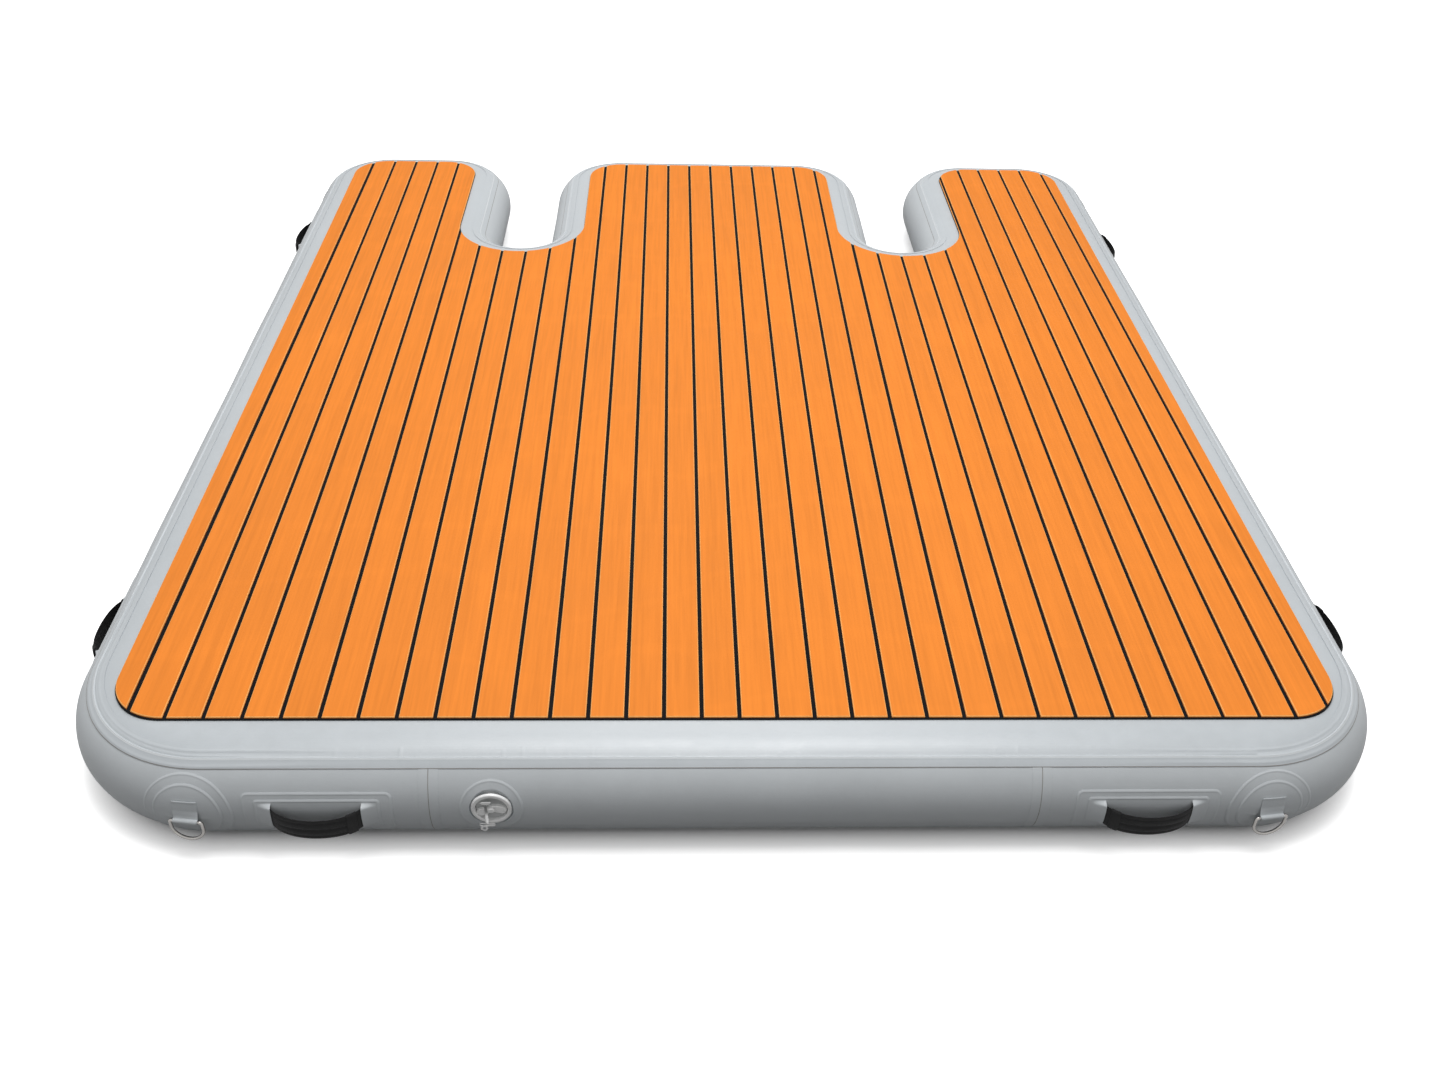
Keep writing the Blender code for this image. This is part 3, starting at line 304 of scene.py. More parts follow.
def grid_faces(rows, columns, wrap=False, around=False):
    """Quads over points numbered row by row; wrap closes the rows on themselves, around the columns."""
    faces = []
    for row in range(rows if wrap else rows - 1):
        here, there = row * columns, (row + 1) % rows * columns
        for column in range(columns if around else columns - 1):
            after = (column + 1) % columns
            faces.append((here + column, here + after, there + after, there + column))
    return faces


def shell(name, outer, inner, faces, materials):
    """A closed sheet: an outer and an inner face of the same pattern, joined along every free edge."""
    count = len(outer)
    directed = {pair for face in faces for pair in zip(face, face[1:] + face[:1])}
    rim = [(b, a, a + count, b + count) for a, b in directed if (b, a) not in directed]
    back = [tuple(corner + count for corner in reversed(face)) for face in faces]
    return make_object(name, np.concatenate([outer, inner]), list(faces) + back + sorted(rim), materials)


def skinned(rings, closed=False):
    """Points and faces over rings of points: the sides, and two ends unless it closes on itself."""
    count = len(rings[0])
    points = [point for ring in rings for point in ring]
    faces = grid_faces(len(rings), count, closed, True)
    if not closed:
        faces += [tuple(range(count)), tuple(range(len(points) - count, len(points)))]
    return points, faces


def loft(name, rings, materials, closed=False, smooth=SMOOTH_ANGLE):
    """A solid skinned over rings of points."""
    return make_object(name, *skinned(rings, closed), materials, smooth)


def shifted(points, distance, closed=False, least=math.cos(QUARTER / 2)):
    """A line's points moved to its left by a distance, or by one for each point, with mitred corners."""
    last = len(points) - 1
    moved = []
    for index, here in enumerate(points):
        amount = distance[index] if isinstance(distance, list) else distance
        before, after = points[index - 1], points[(index + 1) % len(points)]
        entry = Vector(here) - Vector(before) if closed or index else Vector(after) - Vector(here)
        leave = Vector(after) - Vector(here) if closed or index < last else entry
        entry, leave = entry.normalized(), leave.normalized()
        middle = entry + leave
        middle = middle.normalized() if middle.length > SEAT_GAP else entry
        stretch = 1 / max(middle.dot(entry), least)
        moved.append((here[0] - middle.y * amount * stretch, here[1] + middle.x * amount * stretch))
    return moved


def settle(piece):
    """Apply a piece's modifiers to its mesh."""
    graph = bpy.context.evaluated_depsgraph_get()
    graph.update()
    data = bpy.data.meshes.new_from_object(piece.evaluated_get(graph))
    piece.modifiers.clear()
    piece.data = data


def combine(piece, other, operation):
    """Cut another object from the piece or join it on, and drop the other."""
    modifier = piece.modifiers.new(other.name, "BOOLEAN")
    modifier.operation = operation
    modifier.solver = "EXACT"
    modifier.object = other
    settle(piece)
    bpy.data.objects.remove(other, do_unlink=True)
    return piece


def soften(piece, width, segments):
    """Round a piece's hard edges."""
    modifier = piece.modifiers.new("edges", "BEVEL")
    modifier.width = width
    modifier.segments = segments
    modifier.limit_method = "ANGLE"
    modifier.angle_limit = math.radians(40)
    modifier.harden_normals = False
    settle(piece)
    piece.data.shade_smooth()


def dress(piece, body, node, instead=True):
    """The piece moves with a body and mostly takes a CAD node's place: the node is hidden unless instead is
    false.
    """
    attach(piece, body)
    if instead:
        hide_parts(node)
    return piece


# Materials

class Nodes:
    """The nodes of a material or of the world, and the steps that their values go through."""

    def __init__(self, owner):
        owner.use_nodes = True
        self.owner = owner
        self.tree = owner.node_tree

    @cached_property
    def place(self):
        """Places on the object, in its own axes."""
        return self.add("TexCoord", {}, "Object")

    def feed(self, node, inputs):
        """Link the sockets and set the plain values that a node takes."""
        for name, value in inputs.items():
            if isinstance(value, bpy.types.NodeSocket):
                self.tree.links.new(value, node.inputs[name])
            else:
                node.inputs[name].default_value = value

    def add(self, kind, inputs, output=0, **settings):
        """An output of a new node with these inputs and settings."""
        made = self.tree.nodes.new("ShaderNode" + kind)
        for name, value in settings.items():
            setattr(made, name, value)
        self.feed(made, inputs)
        return made.outputs[output]

    def noise(self, scale, detail=3.0, roughness=0.55, stretch=None):
        """A noise between about 0.3 and 0.7, of places multiplied along X, Y and Z."""
        place = self.add("Mapping", {"Vector": self.place, "Scale": stretch}) if stretch else self.place
        inputs = {"Vector": place, "Scale": scale, "Detail": detail, "Roughness": roughness}
        return self.add("TexNoise", inputs, "Fac")

    def remap(self, value, to_low, to_high, low=0.3, high=0.7):
        """A value stretched from its range, a noise's unless given, to another."""
        inputs = {"Value": value, "From Min": low, "From Max": high, "To Min": to_low, "To Max": to_high}
        return self.add("MapRange", inputs, "Result")

    def calculate(self, operation, first, second=0.0):
        """One step of arithmetic."""
        return self.add("Math", {0: first, 1: second}, operation=operation)

    def toned(self, colour, factor):
        """A colour multiplied by a varying factor."""
        return self.add("VectorMath", {0: colour, 1: factor}, operation="MULTIPLY")

    def weave(self, pitch):
        """Raised threads that cross each other, read along X, Y and Z together."""
        inputs = {"Vector": self.place, "Scale": math.pi / 10 / pitch, "Distortion": 0.0}
        x, y, z = (self.add("TexWave", inputs, "Fac", wave_type="BANDS", bands_direction=axis)
                   for axis in "XYZ")
        return self.calculate("ADD", self.calculate("ADD", x, y), z)

    def bump(self, height, strength, distance, normal=None):
        """A bump from a height in shares of a distance in metres, over another bump if one is given."""
        inputs = {"Height": height, "Strength": strength, "Distance": distance}
        if normal is not None:
            inputs["Normal"] = normal
        return self.add("Bump", inputs, "Normal")

    def shade(self, colour, roughness, normal, shine=0.5, **more):
        """The material, with what its shader takes."""
        inputs = {"Base Color": colour, "Roughness": roughness, "Normal": normal, "Specular IOR Level": shine}
        self.feed(self.tree.nodes["Principled BSDF"], inputs | more)
        return self.owner


def fabric_material(name, colour, roughness, shine, thread_pitch=0.0011):
    """Coated fabric: a faint weave under a satin coat, with soft blotches, scuffs and handling marks."""
    nodes = Nodes(bpy.data.materials.new(name))
    broad = nodes.noise(2.2, 2.0)
    fine = nodes.noise(34.0, 4.0, 0.6)
    scuffs = nodes.noise(3.0, 5.0, 0.65, (9.0, 9.0, 40.0))
    tone = nodes.calculate("ADD", nodes.remap(broad, 0.965, 1.03), nodes.remap(fine, -0.018, 0.018))
    lighter = tuple(min(1, part * 1.35) for part in colour) + (1,)
    marks = nodes.remap(scuffs, 0.0, 0.09, 0.6, 0.78)
    base = nodes.add("Mix", {6: nodes.toned(colour, tone), 7: lighter, 0: marks}, 2, data_type="RGBA")
    normal = nodes.bump(nodes.weave(thread_pitch), 0.14, 0.00025)
    normal = nodes.bump(broad, 0.25, 0.02, nodes.bump(fine, 0.2, 0.0012, normal))
    return nodes.shade(base, nodes.remap(fine, roughness - 0.05, roughness + 0.06), normal, shine)


def foam_material(name, colour, shine=0.15):
    """Brushed closed-cell foam: streaks along the planks, a tone for each plank, blotches and rub marks."""
    nodes = Nodes(bpy.data.materials.new(name))
    streaks = nodes.noise(1.0, 4.0, 0.6, (150.0, 5.0, 1.0))
    long_streaks = nodes.noise(1.0, 3.0, 0.6, (42.0, 1.1, 1.0))
    blotches = nodes.noise(2.6, 4.0, 0.6)
    swirl = {"Vector": nodes.place, "Scale": 1.6, "Distortion": 9.0, "Detail": 3.0, "Detail Scale": 1.2}
    rubs = nodes.add("TexWave", swirl, "Fac", wave_type="RINGS")
    past = nodes.calculate("SUBTRACT", nodes.add("SeparateXYZ", {"Vector": nodes.place}, "X"), GROOVE_SHIFT)
    number = nodes.calculate("FLOOR", nodes.calculate("DIVIDE", past, PLANK_PITCH))
    plank = nodes.add("TexWhiteNoise", {"W": number}, "Value", noise_dimensions="1D")
    tone = nodes.remap(streaks, 0.93, 1.06)
    for part in (nodes.remap(long_streaks, -0.03, 0.03), nodes.remap(blotches, -0.035, 0.035),
                 nodes.remap(rubs, 0.0, 0.02, 0.9, 1.0), nodes.remap(plank, -0.012, 0.012, 0.0, 1.0)):
        tone = nodes.calculate("ADD", tone, part)
    pores = nodes.bump(nodes.noise(1300.0, 2.0), 0.3, 0.0003)
    normal = nodes.bump(nodes.noise(1.0, 2.0, stretch=(900.0, 24.0, 300.0)), 0.35, 0.0004, pores)
    return nodes.shade(nodes.toned(colour, tone), nodes.remap(blotches, 0.68, 0.8), normal, shine)


def webbing_material(name, colour, roughness):
    """Woven webbing: crossing threads, a little fuzz and paler worn threads."""
    nodes = Nodes(bpy.data.materials.new(name))
    threads = nodes.weave(0.0014)
    fuzz = nodes.noise(420.0, 3.0, 0.7)
    wear = nodes.remap(nodes.noise(26.0, 4.0, 0.7), 0.0, 0.5, 0.5, 0.75)
    tone = nodes.calculate("ADD", nodes.remap(threads, 0.75, 1.3, 0.6, 2.4), wear)
    rough = nodes.remap(fuzz, roughness - 0.08, roughness + 0.08)
    normal = nodes.bump(threads, 0.5, 0.0004, nodes.bump(fuzz, 0.4, 0.0003))
    return nodes.shade(nodes.toned(colour, tone), rough, normal, 0.22, **{"Sheen Weight": 0.02})


def plastic_material(name, colour, roughness, shine=0.5):
    """Moulded plastic: a fine spark-eroded grain and slight clouding."""
    nodes = Nodes(bpy.data.materials.new(name))
    cloud = nodes.noise(45.0, 3.0)
    base = nodes.toned(colour, nodes.remap(cloud, 0.97, 1.02))
    normal = nodes.bump(nodes.noise(1500.0, 2.0), 0.2, 0.0002)
    return nodes.shade(base, nodes.remap(cloud, roughness - 0.06, roughness + 0.06), normal, shine)


def metal_material(name, colour, roughness):
    """Polished wire: bright metal with fine drawing lines and dull spots."""
    nodes = Nodes(bpy.data.materials.new(name))
    dull = nodes.noise(130.0, 4.0, 0.65)
    base = nodes.toned(colour, nodes.remap(dull, 0.88, 1.05))
    rough = nodes.remap(dull, roughness - 0.06, roughness + 0.14, 0.3, 0.75)
    normal = nodes.bump(nodes.noise(1.0, 2.0, stretch=(500.0, 90.0, 500.0)), 0.12, 0.0001)
    return nodes.shade(base, rough, normal, Metallic=1.0)


SKIN = fabric_material("skin_fabric", (0.5, 0.535, 0.56), 0.36, 0.9)
WALL = fabric_material("wall_fabric", (0.59, 0.62, 0.64), 0.48, 0.4)
TAPE = fabric_material("tape_fabric", (0.51, 0.545, 0.57), 0.37, 0.9)
# A lighter copy of the tape's colour for the row just above the wall's edge: a painted highlight along the
# crease
CREASE_HIGHLIGHT = fabric_material("painted_crease_highlight", (0.64, 0.67, 0.69), 0.36, 0.9)
# Dark brownish line: down the middle of a joint cover it is the glued joint; along the tape's lower edge it
# is glue and also painted shadow under that edge
GLUE_AND_SHADE = fabric_material("glue_and_painted_shade", (0.27, 0.25, 0.235), 0.5, 0.3)
PATCH = fabric_material("patch_fabric", (0.59, 0.62, 0.64), 0.46, 0.4)
TAB = fabric_material("tab_fabric", (0.55, 0.58, 0.6), 0.42, 0.5, 0.0016)
BLACK_WEB = webbing_material("strap_webbing", (0.0045, 0.0045, 0.0048), 0.6)
FOAM = foam_material("deck_foam", (0.87, 0.256, 0.034))
# Lighter orange for the planks' bevelled edges: a painted highlight along their rounded tops
FOAM_BEVEL_HIGHLIGHT = foam_material("deck_foam_bevel_highlight", (0.98, 0.46, 0.14))
FOAM_BASE = foam_material("deck_foam_base", (0.007, 0.007, 0.008), 0.08)
WHITE = plastic_material("white_plastic", (0.97, 0.97, 0.965), 0.26, 1.0)
CAP_GREY = plastic_material("cap_grey", (0.5, 0.51, 0.51), 0.36, 0.8)
RUBBER = plastic_material("grey_rubber", (0.2, 0.21, 0.22), 0.6)
STEEL = metal_material("polished_steel", (0.42, 0.405, 0.39), 0.16)


# The plan of the hull, and its rail of half-round section

def filled(stations, step):
    """The closed path with stations added along its straight stretches."""
    full = []
    for here, ahead in zip(stations, stations[1:] + stations[:1]):
        full.append(here)
        if math.dist(here[2:], ahead[2:]) <= SEAT_GAP:
            full += bridge(here, ahead, max(1, round(math.dist(here[:2], ahead[:2]) / step)))
    return full


def plan_path(inset, front_inset, near_radius, far_radius, arc_step, step):
    """Stations (x, y, normal x, normal y) round the platform, inset from the edge of the flat top."""
    def bend(x, y, radius, start, sweep=QUARTER):
        hull_side = 1 if sweep > 0 else -1
        facets = math.ceil((radius + (RAIL_OUT if sweep > 0 else 0)) * abs(sweep) / arc_step)
        turns = [(math.cos(angle), math.sin(angle)) for angle in even(start, start + sweep, facets)]
        return [(x + radius * cos, y + radius * sin, hull_side * cos, hull_side * sin) for cos, sin in turns]

    edge_x = PATH_HALF_WIDTH - inset
    near_y = front_inset - PATH_HALF_LENGTH
    far_y = PATH_HALF_LENGTH - inset
    slot_radius = SLOT_PATH_RADIUS + inset
    lobe_radius = LOBE_PATH_RADIUS - inset
    lobe_y = far_y - lobe_radius
    right = bend(edge_x - near_radius, near_y + near_radius, near_radius, -QUARTER)
    right += bend(edge_x - far_radius, far_y - far_radius, far_radius, 0)
    right += bend(SLOT_X + slot_radius + lobe_radius, lobe_y, lobe_radius, QUARTER)
    right += bend(SLOT_X, SLOT_Y, slot_radius, 0, -math.pi)
    right += bend(SLOT_X - slot_radius - lobe_radius, lobe_y, lobe_radius, 0)
    return filled(right + [(-x, y, -nx, ny) for x, y, nx, ny in reversed(right)], step)


def fitting_place(x, y, turn, rise=0.0):
    """Where a fitting's own frame stands: on the rail's centre line, turned to face out."""
    return Matrix.Translation((x, y, RAIL_RADIUS + rise)) @ Matrix.Rotation(turn, 4, "Z")


def laid(side, across, out, up):
    """Points of a fitting's frame from arrays; on a near corner, laid round from where it begins."""
    if side == 0:
        return np.stack([across, -out, up], axis=-1)
    past = RING_PAST_CORNER + side * across
    turn = np.maximum(past, 0) / NEAR_CORNER_RADIUS
    reach = NEAR_PATH_RADIUS + out
    along = np.where(past > 0, reach * np.sin(turn), past)
    back = np.where(past > 0, reach * np.cos(turn) - NEAR_PATH_RADIUS, out)
    return np.stack([side * along, -back, up], axis=-1)


def into_place(place, local):
    """Points moved from a fitting's frame into the scene."""
    matrix = np.array(place)
    return local @ matrix[:3, :3].T + matrix[:3, 3]


RAIL_ARC_STEP = 0.007
RAIL_STEP = 0.012
TAPE_STEP = 0.003
RAIL_PATH = plan_path(0, 0, NEAR_PATH_RADIUS, FAR_PATH_RADIUS, RAIL_ARC_STEP, RAIL_STEP)

# Places of the fittings; a ring's place comes with its side if it is laid round a near corner
HANDLES = {f"front_{word}": fitting_place(side * FRONT_HANDLE_X, -PATH_HALF_LENGTH, 0)
           for word, side in SIDES.items()}
HANDLES |= {f"{word}_{end}": fitting_place(side * PATH_HALF_WIDTH, y, side * QUARTER)
            for word, side in SIDES.items() for end, y in (("near", -SIDE_HANDLE_Y), ("far", SIDE_HANDLE_Y))}
RINGS = {f"front_{word}": (fitting_place(side * NEAR_CORNER_X, -PATH_HALF_LENGTH, 0), side)
         for word, side in SIDES.items()}
RINGS |= {f"rear_{word}": (fitting_place(side * FAR_RING_X, PATH_HALF_LENGTH, math.pi), 0)
          for word, side in SIDES.items()}
VALVE = fitting_place(VALVE_FROM_JOINT - FRONT_JOINT_X, -PATH_HALF_LENGTH, 0, VALVE_RISE)

RIPPLE_HEIGHT = 0.0011
RIPPLE_LENGTHS = (0.16, 0.42)
RIPPLE_WAVES = 9
CALM_REACH = 0.13
CALM_FADE = 0.1


def ripple_waves():
    """Directions, lengths and starts of the long waves that run over the inflated wall."""
    directions = random.normal(size=(RIPPLE_WAVES, 3))
    directions /= np.linalg.norm(directions, axis=1)[:, None]
    lengths = random.uniform(*RIPPLE_LENGTHS, size=RIPPLE_WAVES)
    return directions * (2 * math.pi / lengths)[:, None], random.uniform(0, 2 * math.pi, RIPPLE_WAVES)


RIPPLES = ripple_waves()


def ripple(points):
    """How far the inflated skin stands proud of its round section, calm where a fitting is welded on."""
    waves, starts = RIPPLES
    height = np.sin(points @ waves.T + starts).sum(axis=-1) / RIPPLE_WAVES * 2 * RIPPLE_HEIGHT
    for place, side in [(place, 0) for place in (*HANDLES.values(), VALVE)] + list(RINGS.values()):
        centre = into_place(place, laid(side, np.array(0.0), np.array(RAIL_RADIUS), np.array(0.0)))
        distance = np.linalg.norm(points - centre, axis=-1)
        height = height * smooth_step((distance - CALM_REACH) / CALM_FADE)
    return height


def over_rail(stations, angles, radius):
    """Points at a radius about the rail's centre line: one row for each station."""
    path = np.array(stations)
    radius = np.broadcast_to(radius, (len(stations), len(angles)))
    out = radius * np.sin(angles)
    x = path[:, 0, None] + path[:, 2, None] * out
    y = path[:, 1, None] + path[:, 3, None] * out
    return np.stack([x, y, RAIL_RADIUS + radius * np.cos(angles)], axis=-1)


def rail_points(stations, angles, lift):
    """Points over the inflated rail, lift above its chamber."""
    swell = ripple(over_rail(stations, angles, RAIL_RADIUS)) * np.sin(angles) ** 2
    return over_rail(stations, angles, RAIL_RADIUS + lift + swell).reshape(-1, 3)


def band(name, stations, angles, outer_lift, inner_lift, wrap, material):
    """A skin round the rail between two angles, as a closed sheet."""
    outer = rail_points(stations, angles, outer_lift)
    inner = rail_points(stations, angles, inner_lift)
    return shell(name, outer, inner, grid_faces(len(stations), len(angles), wrap), material)


def path_lengths(stations):
    """How far along the path each station lies."""
    return np.cumsum([0.0] + [math.dist(here[:2], ahead[:2]) for here, ahead in zip(stations, stations[1:])])


# Hull skin, walls and tapes

SKIN_SHOULDER_ROWS = 14
SKIN_WALL_ROWS = 24
WALL_ROWS = 30
JOINTS = {
    "front": [(side * FRONT_JOINT_X, -PATH_HALF_LENGTH) for side in SIDES.values()],
    "rear": [(side * PATH_HALF_WIDTH, HULL_LENGTH / 2 - REAR_JOINT_FROM_END) for side in SIDES.values()],
}


def build_hull_skin():
    """The air chamber's skin: flat top and bottom, and the rounded rail, with the valve's pocket."""
    count = len(RAIL_PATH)
    upper = even(0, WALL_TOP_ANGLE, SKIN_SHOULDER_ROWS)
    middle = even(WALL_TOP_ANGLE, math.pi - WALL_TOP_ANGLE, SKIN_WALL_ROWS)[1:-1]
    angles = upper + middle + [math.pi - angle for angle in reversed(upper)]
    rows = len(angles)
    faces = grid_faces(count, rows, True)
    faces.append(tuple(station * rows for station in range(count)))
    faces.append(tuple(station * rows + rows - 1 for station in reversed(range(count))))
    piece = make_object("hull_skin", rail_points(RAIL_PATH, angles, 0), faces, SKIN)
    dress(combine(piece, valve_cutter(), "DIFFERENCE"), "dock", "air_chamber")


def split_path(stations, cuts):
    """The closed path cut into open runs at points on its straight stretches, with half a gap at each."""
    runs = []
    run = []
    for here, ahead in zip(stations, stations[1:] + stations[:1]):
        run.append(here)
        step = Vector((ahead[0] - here[0], ahead[1] - here[1]))
        for cut in cuts:
            offset = Vector((cut[0] - here[0], cut[1] - here[1]))
            if step.length == 0 or abs(step.cross(offset)) > SEAT_GAP * step.length:
                continue
            if 0 <= offset.dot(step) < step.length_squared:
                lead = step.normalized() * SEAT_GAP / 2
                runs.append(run + [(cut[0] - lead.x, cut[1] - lead.y, *here[2:])])
                run = [(cut[0] + lead.x, cut[1] + lead.y, *here[2:])]
    runs[0] = run + runs[0]
    return runs


def build_walls():
    """Four strips of side wall, end to end round the rail."""
    angles = even(WALL_TOP_ANGLE, math.pi - WALL_TOP_ANGLE, WALL_ROWS)
    for run in split_path(RAIL_PATH, JOINTS["front"] + JOINTS["rear"]):
        middle_x, middle_y = np.mean(run, axis=0)[:2]
        if abs(middle_x) < PATH_HALF_WIDTH / 2:
            which = "front" if middle_y < 0 else "rear"
        else:
            which = "left" if middle_x < 0 else "right"
        piece = band(f"wall_strip_{which}", run, angles, WALL_LIFT, SEAT_GAP, False, WALL)
        if which == "front":
            combine(piece, valve_cutter(), "DIFFERENCE")
        dress(piece, "dock", f"side_wall_{which}")


COVER_ROWS = 26
COVER_SHARES = (0.03, 0.06, 0.13, 0.35, 0.6, 0.8, 0.92, 1)
COVER_FEATHER = 0.006
COVER_EDGE_SHARE = 0.12
COVER_LINE_DEPTH = 0.0005
COVER_LINE_SHARE = 0.7
# Width of the dark line of glue, which along the tape's lower edge is also painted shadow
GLUE_AND_SHADE_LINE = 0.0011
# Width of the row that carries the painted crease highlight
CREASE_HIGHLIGHT_WIDTH = 0.001


def build_joint_covers():
    """A thin-edged strip over each joint of the side wall, with a glued line down its middle."""
    half = [JOINT_COVER_WIDTH / 2 * share for share in COVER_SHARES]
    across = np.array([-value for value in reversed(half)] + half)
    start = TAPE_LOW_ANGLE + SEAT_GAP / RAIL_RADIUS
    angles = even(start, math.pi - start, COVER_ROWS)
    inside = JOINT_COVER_WIDTH / 2 - np.abs(across)
    in_line = np.abs(across) < GLUE_AND_SHADE_LINE * COVER_LINE_SHARE
    height = TAPE_THICKNESS * np.minimum(1, COVER_EDGE_SHARE + inside / COVER_FEATHER)
    height -= COVER_LINE_DEPTH * in_line
    outer = np.tile((ON_WALL + height)[:, None], (1, len(angles)))
    line = [number for number, (here, there) in enumerate(zip(in_line, in_line[1:])) if here and there]
    for end, joints in JOINTS.items():
        for (x, y), side in zip(joints, SIDES):
            if end == "front":
                run = [(x + step, y, 0, -1) for step in across]
            else:
                run = [(x, y + step, math.copysign(1, x), 0) for step in across]
            piece = band(f"joint_strip_{end}_{side}", run, angles, outer, ON_WALL, False, [WALL, GLUE_AND_SHADE])
            mark_faces(piece, [number * COVER_ROWS + row for number in line for row in range(COVER_ROWS)])
            dress(piece, "dock", f"joint_cover_{end}_{side}")


TAPE_ROWS_ON_SKIN = 12
TAPE_ROWS_ON_WALL = 8
STEP_RIDGE = 0.0011
STEP_RIDGE_WIDTH = 0.0019
PUCKER_SPACING = (0.014, 0.075)
PUCKER_WIDTH = (0.0012, 0.0026)
PUCKER_HEIGHT = (0.00012, 0.00042)
CORNER_CREASE = 0.0009
CORNER_CREASE_WIDTH = 0.0024
CORNER_CREASE_SHARES = (0.24, 0.44, 0.86)
CORNER_CREASE_WANDER = 0.0016
CORNER_FADE = 0.3


def corner_weight(stations):
    """1 round the two near corners, fading to 0 along the straight stretches."""
    path = np.array(stations)
    past = np.maximum(NEAR_CORNER_X - np.abs(path[:, 0]), path[:, 1] - NEAR_PATH_RADIUS + PATH_HALF_LENGTH)
    return 1 - smooth_step(past / CORNER_FADE)


def tape_lifts(stations, angles):
    """How high the tape's two faces lie: over the skin, up the wall's edge, puckered and creased."""
    step = WALL_TOP_ANGLE - SEAT_GAP / RAIL_RADIUS
    inner = np.where(angles < step - SEAT_GAP / RAIL_RADIUS, SEAT_GAP, ON_WALL)
    past_step = (angles - step) * RAIL_RADIUS / STEP_RIDGE_WIDTH
    outer = SEAT_GAP + TAPE_THICKNESS + WALL_LIFT * smooth_step(past_step + 1)
    outer = np.tile(outer + STEP_RIDGE * np.exp(-past_step ** 2), (len(stations), 1))
    along = path_lengths(stations)
    share = (angles - angles[0]) / (angles[-1] - angles[0])
    reach = 0.0
    while reach < along[-1]:
        reach += random.uniform(*PUCKER_SPACING)
        width = random.uniform(*PUCKER_WIDTH)
        height = random.uniform(*PUCKER_HEIGHT)
        start, end = sorted(random.uniform(-0.2, 1.2, 2))
        near = np.abs(along - reach) < 3 * width
        ends = smooth_step((share - start) * 6) * smooth_step((end - share) * 6)
        profile = np.exp(-((along[near] - reach) / width) ** 2)
        outer[near] += height * profile[:, None] * ends[None, :]
    corner = corner_weight(stations)
    for number, place in enumerate(CORNER_CREASE_SHARES):
        crease = angles[0] + (angles[-1] - angles[0]) * place
        wander = CORNER_CREASE_WANDER * np.sin(along * 9 + number * 2)
        offset = ((angles[None, :] - crease) * RAIL_RADIUS - wander[:, None]) / CORNER_CREASE_WIDTH
        outer += CORNER_CREASE * corner[:, None] * np.exp(-offset ** 2)
    return outer, np.tile(inner, (len(stations), 1))


def build_tapes():
    """The seam tapes that seal the side wall to the top and to the bottom, with a painted highlight on the
    row above the wall's edge and a dark line of glue and painted shadow along the lower edge.
    """
    stations = plan_path(0, 0, NEAR_PATH_RADIUS, FAR_PATH_RADIUS, TAPE_STEP, TAPE_STEP)
    upper = even(TAPE_TOP_ANGLE, WALL_TOP_ANGLE - CREASE_HIGHLIGHT_WIDTH / RAIL_RADIUS, TAPE_ROWS_ON_SKIN)
    lower = even(WALL_TOP_ANGLE, TAPE_LOW_ANGLE - GLUE_AND_SHADE_LINE / RAIL_RADIUS, TAPE_ROWS_ON_WALL)[1:]
    angles = np.array(upper + lower + [TAPE_LOW_ANGLE])
    outer, inner = tape_lifts(stations, angles)
    quads = len(angles) - 1
    for which, turned_angles in (("top", angles), ("bottom", math.pi - angles)):
        piece = band(f"tape_{which}", stations, turned_angles, outer, inner, True, [TAPE, GLUE_AND_SHADE, CREASE_HIGHLIGHT])
        # The last row takes the glue line, darkened as painted shadow under the tape's edge; the row above
        # the wall's edge takes the painted crease highlight
        for row, material in ((quads - 1, 1), (len(upper) - 1, 2)):
            mark_faces(piece, [station * quads + row for station in range(len(stations))], material)
        dress(piece, "dock", f"seam_tape_{which}")


# Foam deck

DECK_ARC_STEP = 0.012
PLANK_STEP = 0.05
PLANK_BEVEL_SHARE = 0.35


def clip_to_strip(points, low, high):
    """The part of a polyline that runs along X which lies between two values of x."""
    inside = []
    for (x0, y0), (x1, y1) in zip(points, points[1:]):
        if max(x0, x1) < low or min(x0, x1) > high:
            continue
        for x, y, other_x, other_y in ((x0, y0, x1, y1), (x1, y1, x0, y0)):
            bound = min(max(x, low), high)
            if bound != x:
                y += (other_y - y) * (bound - x) / (other_x - x)
            if not inside or math.dist(inside[-1], (bound, y)) > PLANK_BEVEL:
                inside.append((bound, y))
    return inside


def plank_outlines():
    """The plan of each plank between two grooves, within the border of the sheet."""
    inset = DECK_SIDE_MARGIN + DECK_SIDE_BORDER
    # At the near edge the planks stop short by the wider border, leaving black sheet that also stands for
    # painted shadow
    edge = plan_path(inset, DECK_FRONT_MARGIN + DECK_NEAR_BORDER_AND_SHADE, DECK_NEAR_CORNER_RADIUS - DECK_SIDE_BORDER,
                     DECK_FAR_CORNER_RADIUS - DECK_SIDE_BORDER, DECK_ARC_STEP, HULL_LENGTH)
    outline = [station[:2] for station in edge]
    half = len(outline) // 2
    near = [spot for spot in outline[half:] + outline[:half] if spot[1] < 0]
    far = [spot for spot in outline if spot[1] > 0]
    half_width = PATH_HALF_WIDTH - inset
    grooves = math.floor(half_width / PLANK_PITCH)
    lines = [GROOVE_SHIFT + PLANK_PITCH * step for step in range(-grooves, grooves + 1)]
    starts = [-half_width] + [line + GROOVE_WIDTH / 2 for line in lines]
    ends = [line - GROOVE_WIDTH / 2 for line in lines] + [half_width]
    return [clip_to_strip(near, start, end) + clip_to_strip(far, start, end)
            for start, end in zip(starts, ends) if end - start > GROOVE_WIDTH]


